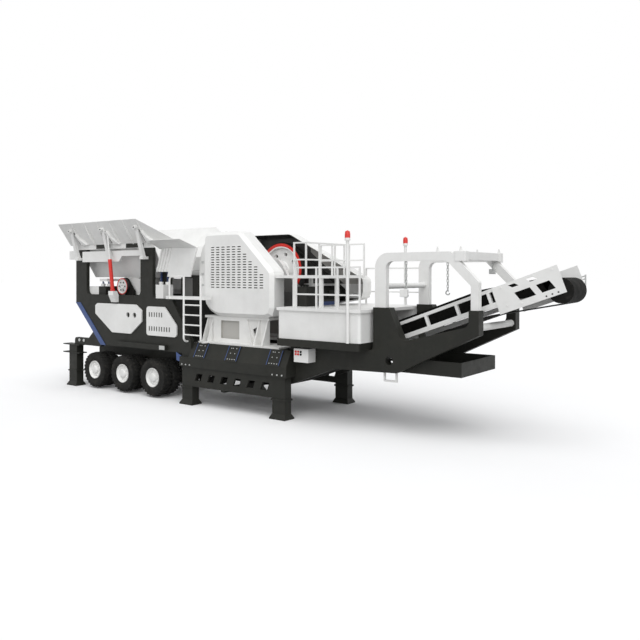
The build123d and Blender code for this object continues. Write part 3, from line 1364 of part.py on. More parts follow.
walkway = block((CABINET_REAR, CABINET_FRONT + DECK_LAP), (-DECK_HALF, DECK_HALF), (CABINET_HIGH, DECK_TOP))
save("decks", walkway, upper_deck())
save("oil_tank", oil_tank())

NEAR_Y = -DECK_HALF + RAILING_INSET
UPPER_NEAR_Y = -UPPER_DECK_NEAR + RAILING_INSET
UPPER_FAR_Y = UPPER_DECK_FAR - RAILING_INSET
LEVELS = (RAILING_MID, RAILING_HIGH)
UPPER_LEVELS = (UPPER_RAILING_MID, UPPER_RAILING_HIGH)
lower_side = railing((LOWER_RAILING_REAR, NEAR_Y), (LOWER_RAILING_FRONT, NEAR_Y), DECK_TOP, LEVELS)
upper_rails = railing((UPPER_RAILING_REAR, UPPER_NEAR_Y), (UPPER_RAILING_FRONT, UPPER_NEAR_Y), UPPER_TOP,
                      UPPER_LEVELS, 2)
upper_rails += railing((UPPER_RAILING_FRONT, UPPER_NEAR_Y), (UPPER_RAILING_FRONT, UPPER_FAR_Y), UPPER_TOP,
                       UPPER_LEVELS)
upper_rails += railing((FAR_RAILING_REAR, UPPER_FAR_Y), (FAR_RAILING_FRONT, UPPER_FAR_Y), UPPER_TOP,
                       UPPER_LEVELS)
save("railings", *mirrored(lower_side), upper_rails)


# Beacons

def beacon_pole(x):
    pole = Pos(x, -DECK_HALF - POLE_RADIUS - SEAT_GAP, 0)
    shaft = Pos(0, 0, (CABINET_LOW + POLE_TOP) / 2) * Cylinder(POLE_RADIUS, POLE_TOP - CABINET_LOW)
    base = Pos(0, 0, POLE_TOP + LAMP_BASE / 2) * Cylinder(LAMP_RADIUS, LAMP_BASE)
    return pole * (shaft + base)


def beacon_lamp(x):
    low = POLE_TOP + LAMP_BASE
    profile = [(0, low), (LAMP_RADIUS, low), (LAMP_RADIUS, low + LAMP_HIGH / 2),
               (LAMP_RADIUS * LAMP_SHOULDER_SHARE, low + LAMP_HIGH * LAMP_SHOULDER_SHARE),
               (0, low + LAMP_HIGH)]
    corners = [(radius, 0, z) for radius, z in profile]
    dome = revolve(make_face(Polyline(*corners, close=True)), Axis.Z)
    return Pos(x, -DECK_HALF - POLE_RADIUS - SEAT_GAP, 0) * dome


save("beacon_poles", beacon_pole(NEAR_POLE_X), mirror(beacon_pole(FAR_POLE_X), about=Plane.XZ))
save("beacon_lamps", beacon_lamp(NEAR_POLE_X), mirror(beacon_lamp(FAR_POLE_X), about=Plane.XZ))


# Ladder with landing and hoop

def ladder():
    y = -LADDER_OUT_Y + LADDER_RADIUS
    hoop_z = LADDER_TOP - LADDER_RADIUS
    pieces = [bent_tube([(HOOP_REAR, y, NOTCH_LOW), (HOOP_REAR, y, hoop_z), (LADDER_REAR, y, hoop_z)],
                        LADDER_BEND, LADDER_RADIUS)]
    for x, inner in ((LADDER_REAR, PLATE_OUT_Y), (LADDER_FRONT, BED_OUT_Y)):
        pieces.append(bent_tube([(x, y, LADDER_TOP), (x, y, FOOT_BAR_Z), (x, -inner, FOOT_BAR_Z)],
                                LADDER_BEND, LADDER_RADIUS))
    for place in range(LADDER_RUNGS):
        z = LADDER_RUNG_LOW + place * LADDER_RUNG_PITCH
        pieces.append(round_bar((LADDER_REAR, y, z), (LADDER_FRONT, y, z), RUNG_RADIUS))
    landing = block((LANDING_REAR, LANDING_FRONT), (y, -LANDING_IN_Y), (NOTCH_LOW, NOTCH_LOW + LANDING_THICK))
    return landing + pieces


save("ladder", ladder())


# Arches with hoist chains

def arch():
    inner_rear = ARCH_REAR + ARCH_POST
    inner_front = ARCH_FRONT - ARCH_NOSE_POST
    low = ARCH_TOP - ARCH_BEAM
    shift = ARCH_NOSE_POST / 2
    outline = [(ARCH_REAR, FRAME_POST_TOP), (ARCH_REAR, ARCH_TOP), (ARCH_BEND_X, ARCH_TOP),
               (ARCH_FRONT, ARCH_BEND_Z), (ARCH_FRONT, FRAME_POST_TOP), (inner_front, FRAME_POST_TOP),
               (inner_front, ARCH_BEND_Z - shift), (ARCH_BEND_X - shift, low), (inner_rear, low),
               (inner_rear, FRAME_POST_TOP)]
    bend = ARCH_BEND_ROUND
    rounds = [0, ARCH_ROUND, bend, bend, 0, 0, bend, bend, ARCH_INNER_ROUND, 0]
    return side_outline(outline, (-ARCH_OUT_Y, -ARCH_IN_Y), rounds)


def ring(long, wide, bar, thick, chamfer):
    """Flat eight-cornered ring standing in the XZ plane, centred."""
    def corners(grow):
        x = wide / 2 - grow
        z = long / 2 - grow
        cut = chamfer - grow / 2
        return [(-x, -z + cut), (-x + cut, -z), (x - cut, -z), (x, -z + cut), (x, z - cut), (x - cut, z),
                (-x + cut, z), (-x, z - cut)]
    y = (-thick / 2, thick / 2)
    return side_outline(corners(0), y) - side_outline(corners(bar), (y[0] - CUT_OVER, y[1] + CUT_OVER))


def chain():
    top = ARCH_TOP - ARCH_BEAM
    pitch = LINK_LONG - 2 * LINK_BAR + LINK_LAP
    link = ring(LINK_LONG, LINK_WIDE, LINK_BAR, LINK_BAR, LINK_CHAMFER)
    place = Pos(CHAIN_X, -(ARCH_IN_Y + ARCH_OUT_Y) / 2, top - LINK_LONG / 2)
    links = [place * Pos(0, 0, -number * pitch) * Rot(0, 0, number % 2 * 90) * link
             for number in range(CHAIN_LINKS)]
    hook_z = -(CHAIN_LINKS - 1) * pitch - LINK_LONG / 2 - HOOK_RADIUS + LINK_BAR
    hook = ring(2 * HOOK_RADIUS, 2 * HOOK_RADIUS, HOOK_BAR, HOOK_BAR, HOOK_RADIUS * HOOK_CHAMFER_SHARE)
    hook -= block((HOOK_BAR, 2 * HOOK_RADIUS), (-HOOK_BAR, HOOK_BAR), (0, HOOK_RADIUS - HOOK_BAR / 2))
    return links[0] + links[1:] + [place * Pos(0, 0, hook_z) * hook]


arches = mirrored(arch())
arch_cross = block((ARCH_CROSS_REAR, ARCH_CROSS_FRONT), (-ARCH_OUT_Y, ARCH_OUT_Y), (ARCH_CROSS_LOW, ARCH_TOP))
save("arches", *arches)
save("cross_tubes", arch_cross - arches, arch_tube, nose_tube, *mirrored(step()))
save("hoist_chains", *mirrored(chain()))


# Discharge conveyor

def incline(along, up):
    """X and Z on the sloping part: distance from the bend, height over the belt middle."""
    return (BEND_X + along * cos(INCLINE) - up * sin(INCLINE),
            TAIL_Z + along * sin(INCLINE) + up * cos(INCLINE))


HEAD_BEND_X, HEAD_BEND_Z = incline(HEAD_BEND, 0)
HEAD_RUN = (FRONT_REACH - BELT_HALF_DEEP - HEAD_BEND_X) / cos(HEAD_INCLINE)


def head_slope(along, up):
    """X and Z on the flatter last run of the belt, from the head bend."""
    return (HEAD_BEND_X + along * cos(HEAD_INCLINE) - up * sin(HEAD_INCLINE),
            HEAD_BEND_Z + along * sin(HEAD_INCLINE) + up * cos(HEAD_INCLINE))


def head_bend(up):
    reach = up / cos((INCLINE - HEAD_INCLINE) / 2)
    turn = (INCLINE + HEAD_INCLINE) / 2
    return HEAD_BEND_X - reach * sin(turn), HEAD_BEND_Z + reach * cos(turn)


def bend(up):
    return BEND_X - up * tan(INCLINE / 2), TAIL_Z + up


def band(low, high, rear, front):
    """Outline between two heights, from an X on the level part to a distance up the slope."""
    return [(rear, TAIL_Z + low), bend(low), incline(front, low), incline(front, high), bend(high),
            (rear, TAIL_Z + high)]


def slope_box(rear, front, low, high, y):
    return side_outline([incline(rear, low), incline(front, low), incline(front, high),
                         incline(rear, high)], y)


def truss():
    y = (-TRUSS_OUT_Y, -TRUSS_IN_Y)
    rear = TAIL_X - TRUSS_POST
    front = HEAD_REAR + HEAD_LAP
    top = side_outline(band(TRUSS_UP - TRUSS_TOP_BAR, TRUSS_UP, rear, front), y)
    low = side_outline(band(-TRUSS_DOWN, -TRUSS_DOWN + TRUSS_LOW_BAR, rear, front), y)
    posts = [slope_box(place * TRUSS_PITCH, place * TRUSS_PITCH + TRUSS_POST, -TRUSS_DOWN, TRUSS_UP, y)
             for place in range(TRUSS_POSTS)]
    level = [block((x, x + 2 * TRUSS_POST), y, (TAIL_Z - TRUSS_DOWN, TAIL_Z + TRUSS_UP))
             for x in (rear, (rear + BEND_X) / 2)]
    return top + [low, *posts, *level]


def belt_loop(half, wide):
    """Solid inside the belt run at half its depth, round at both ends and at the bends."""
    end = END_ROUND_SHARE * half
    rear = TAIL_X - half
    front = HEAD_RUN + half
    points = [(rear, TAIL_Z - half), bend(-half), head_bend(-half), head_slope(front, -half),
              head_slope(front, half), head_bend(half), bend(half), (rear, TAIL_Z + half)]
    rounds = [end, BEND_RADIUS + half, HEAD_BEND_RADIUS - half, end, end, HEAD_BEND_RADIUS + half,
              BEND_RADIUS - half, end]
    return side_outline(points, (-wide, wide), rounds)


def drum(x, z, half):
    roll = cross_cylinder(x, z, BELT_HALF_DEEP - BELT_SHEET - SEAT_GAP, (-BELT_HALF_WIDE, BELT_HALF_WIDE))
    return roll + cross_cylinder(x, z, DRUM_SHAFT, (-half, half))


def idler(along):
    x, z = incline(along, BELT_HALF_DEEP - BELT_SHEET - IDLER_RADIUS - SEAT_GAP)
    roll = cross_cylinder(x, z, IDLER_RADIUS, (-BELT_HALF_WIDE, BELT_HALF_WIDE))
    return roll + cross_cylinder(x, z, IDLER_SHAFT, (-TRUSS_IN_Y, TRUSS_IN_Y))


def head_plate():
    y = (-TRUSS_OUT_Y - HEAD_THICK, -TRUSS_OUT_Y)
    plate = slope_box(HEAD_REAR, HEAD_REAR + HEAD_LONG, -HEAD_LOW, HEAD_UP, y)
    high = HEAD_UP + HEAD_LOW
    lean = HEAD_LEAN_SHARE * HEAD_LONG
    cuts = []
    for rear, front, low, top in HEAD_CUT_SHARES:
        start = HEAD_REAR + rear * HEAD_LONG
        end = HEAD_REAR + front * HEAD_LONG
        below = low * high - HEAD_LOW
        above = top * high - HEAD_LOW
        cuts.append(side_outline([incline(start, below), incline(end, below), incline(end - lean, above),
                                  incline(start - lean, above)], (y[0] - CUT_OVER, y[1] + CUT_OVER)))
    return plate - cuts


def conveyor_saddle(x):
    """Cross beam under the belt with two pads that carry the trusses."""
    along = (x - BEND_X) / cos(INCLINE)
    beam = slope_box(along, along + SADDLE_LONG, -SADDLE_DROP - SADDLE_HIGH, -SADDLE_DROP,
                     (-FRAME_IN_Y, FRAME_IN_Y))
    pads = mirrored(slope_box(along, along + SADDLE_LONG, -SADDLE_DROP, -TRUSS_DOWN,
                              (-TRUSS_OUT_Y, -TRUSS_IN_Y)))
    return beam + pads


def tail_saddle():
    x = (TAIL_SADDLE_X, TAIL_SADDLE_X + SADDLE_LONG)
    half = LEG_MID_Y + LEG_WIDE / 2 - SLOT_BEAM_THICK
    beam = block(x, (-half, half), (TAIL_Z - SADDLE_DROP - SADDLE_HIGH, TAIL_Z - SADDLE_DROP))
    pads = mirrored(block(x, (-TRUSS_OUT_Y, -TRUSS_IN_Y), (TAIL_Z - SADDLE_DROP, TAIL_Z - TRUSS_DOWN)))
    return beam + pads


save("conveyor_trusses", *mirrored(truss()))
save("conveyor_belt", belt_loop(BELT_HALF_DEEP, BELT_HALF_WIDE)
     - belt_loop(BELT_HALF_DEEP - BELT_SHEET, BELT_HALF_WIDE + CUT_OVER))
save("conveyor_rollers", drum(TAIL_X, TAIL_Z, TRUSS_IN_Y), drum(*head_slope(HEAD_RUN, 0), TRUSS_OUT_Y),
     *[idler(IDLER_START + place * IDLER_PITCH) for place in range(IDLERS)])
save("head_plates", *mirrored(head_plate()))
plate_in = PLATE_OUT_Y - PLATE_THICK
cross_beams = [block((x - CROSS_LONG / 2, x + CROSS_LONG / 2), (-plate_in, plate_in),
                     (PLATE_LOW, PLATE_LOW + CROSS_HIGH)) for x in CROSS_PLACES]
spring_beam = block((SPRING_REAR_X - REAR_BEAM_LONG / 2, SPRING_REAR_X + REAR_BEAM_LONG / 2),
                    (-plate_in, plate_in), (REAR_BEAM_LOW, REAR_BEAM_TOP))
girder_tie = block((GIRDER_REAR, GIRDER_REAR + TIE_LONG), (-GIRDER_IN_Y, GIRDER_IN_Y),
                   (CHORD_LOW, CHORD_HIGH))
save("cross_members", girder_tie, *cross_beams, spring_beam, tail_saddle(),
     conveyor_saddle(MIDDLE_SADDLE_X), conveyor_saddle(FRONT_SADDLE_X))
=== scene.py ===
import json
import math

import bmesh
import bpy
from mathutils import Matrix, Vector


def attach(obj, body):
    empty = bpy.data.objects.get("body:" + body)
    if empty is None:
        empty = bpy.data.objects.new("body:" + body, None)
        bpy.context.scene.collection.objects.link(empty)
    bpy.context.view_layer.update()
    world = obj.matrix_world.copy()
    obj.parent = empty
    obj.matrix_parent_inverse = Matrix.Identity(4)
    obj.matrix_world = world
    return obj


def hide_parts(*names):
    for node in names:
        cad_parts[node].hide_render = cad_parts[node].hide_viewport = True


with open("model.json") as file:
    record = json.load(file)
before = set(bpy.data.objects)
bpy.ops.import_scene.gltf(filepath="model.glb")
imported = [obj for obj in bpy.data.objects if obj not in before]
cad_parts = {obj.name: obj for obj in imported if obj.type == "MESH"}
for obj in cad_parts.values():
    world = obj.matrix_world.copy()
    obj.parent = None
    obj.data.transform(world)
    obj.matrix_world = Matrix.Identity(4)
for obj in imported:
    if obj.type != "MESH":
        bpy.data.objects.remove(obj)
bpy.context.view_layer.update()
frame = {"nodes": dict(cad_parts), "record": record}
nodes = frame["nodes"]
scene = bpy.context.scene
scene.view_settings.view_transform = "Standard"


# Places: the plant's own millimetres count X from the front legs

SHIFT = 1160
MM = 1000.0


def at(x, y, z):
    """Point in the frame, from the plant's own millimetres."""
    return Vector(((x + SHIFT) / MM, y / MM, z / MM))


def extent(name):
    """Lowest and highest corner of a CAD node, in the plant's own millimetres."""
    shown = nodes[name]
    corners = [shown.matrix_world @ Vector(corner) for corner in shown.bound_box]
    low = [min(corner[k] for corner in corners) * MM for k in range(3)]
    high = [max(corner[k] for corner in corners) * MM for k in range(3)]
    low[0] -= SHIFT
    high[0] -= SHIFT
    return low, high


def middle(name):
    """Middle of a CAD node's extent."""
    low, high = extent(name)
    return [(a + b) / 2 for a, b in zip(low, high)]


# Materials

def new_material(name):
    """Material with one shader, not yet coloured."""
    material = bpy.data.materials.new(name)
    material.use_nodes = True
    tree = material.node_tree
    tree.nodes.clear()
    shader = tree.nodes.new("ShaderNodeBsdfPrincipled")
    out = tree.nodes.new("ShaderNodeOutputMaterial")
    tree.links.new(shader.outputs[0], out.inputs[0])
    return material, tree, shader


def node(tree, kind, **values):
    """New shader node with some of its settings."""
    made = tree.nodes.new(kind)
    for key, value in values.items():
        setattr(made, key, value)
    return made


def feed(tree, socket, value):
    """Link a socket, or set a number or a colour."""
    if hasattr(value, "is_linked"):
        tree.links.new(value, socket)
    elif isinstance(value, (int, float)):
        socket.default_value = value
    else:
        socket.default_value = (*value, 1.0)


def calc(tree, operation, *values):
    """Sum, product or comparison of numbers and sockets."""
    made = node(tree, "ShaderNodeMath", operation=operation)
    for socket, value in zip(made.inputs, values):
        feed(tree, socket, value)
    return made.outputs[0]


def place(tree):
    """Position on the piece at rest, in metres."""
    return tree.nodes.new("ShaderNodeTexCoord").outputs["Object"]


def axes(tree, vector):
    """X, Y and Z of a vector."""
    made = node(tree, "ShaderNodeSeparateXYZ")
    tree.links.new(vector, made.inputs[0])
    return made.outputs


def noise(tree, scale, detail=4.0, rough=0.55, stretch=None):
    """Cloudy pattern that stays with the piece."""
    made = node(tree, "ShaderNodeTexNoise")
    made.inputs["Scale"].default_value = scale
    made.inputs["Detail"].default_value = detail
    made.inputs["Roughness"].default_value = rough
    where = place(tree)
    if stretch:
        scaled = node(tree, "ShaderNodeMapping")
        scaled.inputs["Scale"].default_value = stretch
        tree.links.new(where, scaled.inputs["Vector"])
        where = scaled.outputs[0]
    tree.links.new(where, made.inputs["Vector"])
    return made.outputs["Fac"]


def ramp(tree, fac, stops):
    """Colours at places from 0 to 1, blended in between."""
    made = node(tree, "ShaderNodeValToRGB")
    bar = made.color_ramp
    while len(bar.elements) < len(stops):
        bar.elements.new(0.5)
    for element, (where, colour) in zip(bar.elements, stops):
        element.position = where
        element.color = (*colour, 1.0)
    tree.links.new(fac, made.inputs[0])
    return made.outputs[0]


def mix(tree, fac, first, second):
    """Second colour over the first, by a mask."""
    made = node(tree, "ShaderNodeMix", data_type="RGBA")
    for socket, value in ((made.inputs[0], fac), (made.inputs[6], first), (made.inputs[7], second)):
        feed(tree, socket, value)
    return made.outputs[2]


def even(value):
    """Grey of one value."""
    return (value,) * 3


PALEST = 0.9


def shade(colour, share):
    """Darker or paler tone of a colour."""
    return tuple(min(channel * share, PALEST) for channel in colour)


def bump(tree, shader, height, strength, distance):
    """Fine relief from a pattern."""
    made = node(tree, "ShaderNodeBump")
    made.inputs["Strength"].default_value = strength
    made.inputs["Distance"].default_value = distance
    tree.links.new(height, made.inputs["Height"])
    tree.links.new(made.outputs[0], shader.inputs["Normal"])


DUST = (0.30, 0.27, 0.22)
CHASSIS_DUST = (0.16, 0.14, 0.11)
RUBBER_DUST = (0.20, 0.18, 0.15)
RUST = (0.12, 0.06, 0.03)
RAIN_STRETCH = (1.0, 1.0, 0.08)
PAINT_ROUGH = 0.42
PAINT_SHEEN = 0.5
RUBBER_SHEEN = 0.12


def sprayed(tree, colour, dust=DUST, dust_share=0.10, streak=0.06):
    """Colour of sprayed paint: faint mottling, rain streaks and patches of dust."""
    tones = [(0.3, shade(colour, 0.9)), (0.55, colour), (0.8, shade(colour, 1.04))]
    base = ramp(tree, noise(tree, 0.9, detail=5), tones)
    runs = noise(tree, 7.0, detail=3, rough=0.5, stretch=RAIN_STRETCH)
    rain = ramp(tree, runs, [(0.52, even(0.0)), (0.8, even(streak))])
    base = mix(tree, rain, base, shade(colour, 0.45))
    patch = ramp(tree, noise(tree, 2.3, detail=8, rough=0.7), [(0.5, even(0.0)), (0.78, even(dust_share))])
    return mix(tree, patch, base, dust)


def glossed(tree, shader, base, rough, sheen):
    """Colour, uneven gloss and the orange peel of sprayed paint."""
    tree.links.new(base, shader.inputs["Base Color"])
    shader.inputs["Specular IOR Level"].default_value = sheen
    clouds = noise(tree, 5.0, detail=6, rough=0.65)
    gloss = ramp(tree, clouds, [(0.3, even(rough - 0.06)), (0.75, even(rough + 0.14))])
    tree.links.new(gloss, shader.inputs["Roughness"])
    bump(tree, shader, noise(tree, 220.0, detail=2), strength=0.04, distance=0.002)


def paint(name, colour, rough=PAINT_ROUGH, sheen=PAINT_SHEEN, **wear):
    """Sprayed paint of one colour."""
    material, tree, shader = new_material(name)
    glossed(tree, shader, sprayed(tree, colour, **wear), rough, sheen)
    return material


def layered(name, colour, *layers, rough=PAINT_ROUGH):
    """Paint of one colour, and of others where their masks say so."""
    material, tree, shader = new_material(name)
    base = sprayed(tree, colour)
    for over, where in layers:
        base = mix(tree, where(tree), base, sprayed(tree, over))
    glossed(tree, shader, base, rough, PAINT_SHEEN)
    return material


def beyond(x, z, radius):
    """Mask: farther than a radius from an axis along Y."""
    centre = at(x, 0, z)

    def mask(tree):
        across, _, up = axes(tree, place(tree))
        run = calc(tree, "SUBTRACT", across, centre.x)
        rise = calc(tree, "SUBTRACT", up, centre.z)
        square = calc(tree, "ADD", calc(tree, "MULTIPLY", run, run), calc(tree, "MULTIPLY", rise, rise))
        return calc(tree, "GREATER_THAN", square, (radius / MM) ** 2)
    return mask


def below(z):
    """Mask: lower than a height."""
    def mask(tree):
        return calc(tree, "LESS_THAN", axes(tree, place(tree))[2], z / MM)
    return mask


def above(z):
    """Mask: higher than a height."""
    def mask(tree):
        return calc(tree, "GREATER_THAN", axes(tree, place(tree))[2], z / MM)
    return mask


def overlap(first, second):
    """Mask: where two masks meet."""
    def mask(tree):
        return calc(tree, "MULTIPLY", first(tree), second(tree))
    return mask


def either(first, second):
    """Mask: where at least one of two masks holds."""
    def mask(tree):
        return calc(tree, "MAXIMUM", first(tree), second(tree))
    return mask


def under(rear, front):
    """Mask: below a slanted line through two places in X and Z."""
    start = at(rear[0], 0, rear[1])
    fall = (rear[1] - front[1]) / (front[0] - rear[0])

    def mask(tree):
        across, _, up = axes(tree, place(tree))
        drop = calc(tree, "MULTIPLY", calc(tree, "SUBTRACT", across, start.x), fall)
        return calc(tree, "LESS_THAN", calc(tree, "ADD", up, drop), start.z)
    return mask


def between(rear, front):
    """Mask: between two places along X."""
    def mask(tree):
        across = axes(tree, place(tree))[0]
        after = calc(tree, "GREATER_THAN", across, at(rear, 0, 0).x)
        return calc(tree, "MULTIPLY", after, calc(tree, "LESS_THAN", across, at(front, 0, 0).x))
    return mask


def facing(x, y, z):
    """Mask: faces of two mirrored shells that look towards the shells' middles."""
    centre = at(x, y, z)

    def mask(tree):
        across, deep, up = axes(tree, place(tree))
        normal = axes(tree, tree.nodes.new("ShaderNodeNewGeometry").outputs["Normal"])
        outward = calc(tree, "MULTIPLY", normal[1], calc(tree, "SIGN", deep))
        ways = ((across, centre.x, normal[0]), (calc(tree, "ABSOLUTE", deep), centre.y, outward),
                (up, centre.z, normal[2]))
        total = 0.0
        for spot, start, way in ways:
            reach = calc(tree, "SUBTRACT", spot, start)
            total = calc(tree, "ADD", total, calc(tree, "MULTIPLY", reach, way))
        return calc(tree, "LESS_THAN", total, 0.0)
    return mask


def rolled(name, colour, rough=0.5, metal=0.9):
    """Bare or worn steel with fine scratches and brown spots."""
    material, tree, shader = new_material(name)
    base = ramp(tree, noise(tree, 6.0, detail=8, rough=0.7), [(0.3, shade(colour, 0.7)), (0.6, colour)])
    spots = ramp(tree, noise(tree, 14.0, detail=6, rough=0.7), [(0.58, even(0.0)), (0.75, even(0.35))])
    base = mix(tree, spots, base, RUST)
    tree.links.new(base, shader.inputs["Base Color"])
    shader.inputs["Metallic"].default_value = metal
    gloss = ramp(tree, noise(tree, 20.0), [(0.3, even(rough - 0.1)), (0.7, even(rough + 0.15))])
    tree.links.new(gloss, shader.inputs["Roughness"])
    bump(tree, shader, noise(tree, 60.0, detail=6, rough=0.7), strength=0.2, distance=0.003)
    return material


def rubber(name, colour, dust_share=0.25):
    """Matt rubber with dust in its grain."""
    material, tree, shader = new_material(name)
    base = ramp(tree, noise(tree, 3.0, detail=6), [(0.3, shade(colour, 0.75)), (0.7, colour)])
    patch = ramp(tree, noise(tree, 9.0, detail=8, rough=0.75), [(0.5, even(0.0)), (0.8, even(dust_share))])
    base = mix(tree, patch, base, RUBBER_DUST)
    tree.links.new(base, shader.inputs["Base Color"])
    shader.inputs["Specular IOR Level"].default_value = RUBBER_SHEEN
    gloss = ramp(tree, noise(tree, 8.0), [(0.3, even(0.75)), (0.7, even(0.95))])
    tree.links.new(gloss, shader.inputs["Roughness"])
    bump(tree, shader, noise(tree, 120.0, detail=5, rough=0.7), strength=0.15, distance=0.003)
    return material


WHITE = (0.79, 0.79, 0.775)
WHEEL_WHITE = (0.86, 0.86, 0.845)
# White of the stand, a little darker than the other white: painted shade under the guard.
STAND_SHADED_WHITE = (0.75, 0.748, 0.73)
# Grey of painted shade, in the stand's recess and inside the flywheel guards.
RECESS_SHADE_GREY = (0.42, 0.41, 0.385)
DARK = (0.019, 0.0195, 0.0165)
BLUE = (0.038, 0.075, 0.215)
RED = (0.68, 0.028, 0.020)
# Near-black of painted shade deep inside the flywheel guards.
GUARD_DEEP_SHADE = (0.050, 0.050, 0.048)
BLACK = (0.012, 0.012, 0.011)
CASTING_GREY = (0.13, 0.13, 0.125)
GALVANISED = (0.52, 0.53, 0.52)
WORN_STEEL = (0.42, 0.42, 0.41)
CAST_STEEL = (0.16, 0.155, 0.15)
BELT_BLACK = (0.014, 0.014, 0.013)
TYRE_BLACK = (0.022, 0.022, 0.021)

white = paint("white_paint", WHITE)
# Dark chassis paint, also used for the dark pieces that stand for painted shade.
dark = paint("chassis_paint_and_painted_shade", DARK, rough=0.5, sheen=0.2, dust=CHASSIS_DUST, dust_share=0.06, streak=0.2)
blue = paint("blue_paint", BLUE, rough=0.4)
red = paint("red_paint", RED, rough=0.35, dust_share=0.05)
grey = paint("galvanised_paint", GALVANISED, rough=0.45)
casting = paint("casting_paint", CASTING_GREY, rough=0.55)
steel = rolled("worn_steel", WORN_STEEL)
cast = rolled("cast_steel", CAST_STEEL, rough=0.6, metal=0.7)
belt_rubber = rubber("belt_rubber", BELT_BLACK, dust_share=0.12)
tyre_rubber = rubber("tyre_rubber", TYRE_BLACK)


# Paint in more than one colour, with painted shade inside the guards and in the stand's recess, and where
# each colour ends

FLYWHEEL_X, _, FLYWHEEL_Z = middle("flywheels")
FLYWHEEL_FACE_RADIUS = 655
FLYWHEEL_RADIUS = extent("flywheels")[1][2] - FLYWHEEL_Z
PULLEY_X, _, PULLEY_Z = middle("exciter_pulley")
PULLEY_FACE_RADIUS = 218
PULLEY_RADIUS = extent("exciter_pulley")[1][2] - PULLEY_Z
TREAD = 3
GUARD_MIDDLE_Y = 900
# Painted shade inside the flywheel guards starts above this height, and is deepest between these X places
# and under the belt line.
GUARD_SHADE_LOW = 3240
GUARD_DEEP_SHADE_X = (-2820, -1000)
BELT_LINE = ((-950, 4080), (-180, 3480))
# Below this height the inside of the guards is painted black as shade.
GUARD_BLACK_SHADE_TOP = 2860
HOUSING_LOW = 3400
MOTOR_FOOT_TOP = 2800
STAND_RECESS_X = (-2352, -1688)
STAND_RECESS_Z = (1798, 2272)


def rimmed(name, x, z, face, outer):
    """White wheel with a red rim and a black tread."""
    return layered(name, WHEEL_WHITE, (RED, beyond(x, z, face)), (BLACK, beyond(x, z, outer - TREAD)))


flywheel_paint = rimmed("flywheel_paint", FLYWHEEL_X, FLYWHEEL_Z, FLYWHEEL_FACE_RADIUS, FLYWHEEL_RADIUS)
pulley_paint = rimmed("pulley_paint", PULLEY_X, PULLEY_Z, PULLEY_FACE_RADIUS, PULLEY_RADIUS)
# Guard paint: white outside; inside, painted shade: grey up high, near-black towards the rear and under the
# belt line, black at the bottom.
inside_guard = facing(FLYWHEEL_X, GUARD_MIDDLE_Y, FLYWHEEL_Z)
inside_high = overlap(inside_guard, above(GUARD_SHADE_LOW))
deep_shade_mask = overlap(inside_high, either(between(*GUARD_DEEP_SHADE_X), under(*BELT_LINE)))
guard_paint = layered("guard_paint", WHITE, (RECESS_SHADE_GREY, inside_high), (GUARD_DEEP_SHADE, deep_shade_mask),
                      (BLACK, overlap(inside_guard, below(GUARD_BLACK_SHADE_TOP))))
housing_paint = layered("housing_paint", CASTING_GREY, (WHITE, above(HOUSING_LOW)), rough=0.55)
# Painted shade in the stand's recess, on a white darkened as shade under the guard.
recess_height = overlap(above(STAND_RECESS_Z[0]), below(STAND_RECESS_Z[1]))
stand_recess_shade = overlap(between(*STAND_RECESS_X), recess_height)
stand = layered("stand_paint", STAND_SHADED_WHITE, (RECESS_SHADE_GREY, stand_recess_shade), rough=0.5)
motor_paint = layered("motor_paint", DARK, (BLUE, below(MOTOR_FOOT_TOP)))

BY_SLOT = {"chassis": dark, "white": white, "blue": blue, "red": red, "steel": steel, "manganese": cast,
           "wheel_grey": flywheel_paint, "tyre": tyre_rubber, "belt": belt_rubber}
BY_NODE = {"exciter_pulley": pulley_paint, "flywheel_guards": guard_paint, "drive_motor": motor_paint,
           "crusher_side_walls": housing_paint, "crusher_end_walls": casting, "crusher_stand": stand,
           "hoist_chains": grey}
for part in frame["record"]["subparts"]:
    name = part["node"]
    nodes[name].data.materials.clear()
    nodes[name].data.materials.append(BY_NODE.get(name, BY_SLOT[part["material_slot"]]))


# Building pieces

WELD = 1e-6
BOX_FACES = ((0, 2, 3, 1), (4, 5, 7, 6), (0, 1, 5, 4), (2, 6, 7, 3), (0, 4, 6, 2), (1, 3, 7, 5))
HOLE_SIDES = 16
ROUND_SIDES = 20
PIN_SIDES = 24
WASHER_SIDES = 12
HEXAGON = 6
WASHER_SPREAD = 1.35
WASHER_SHARE = 0.25
BEVEL_STEPS = 2


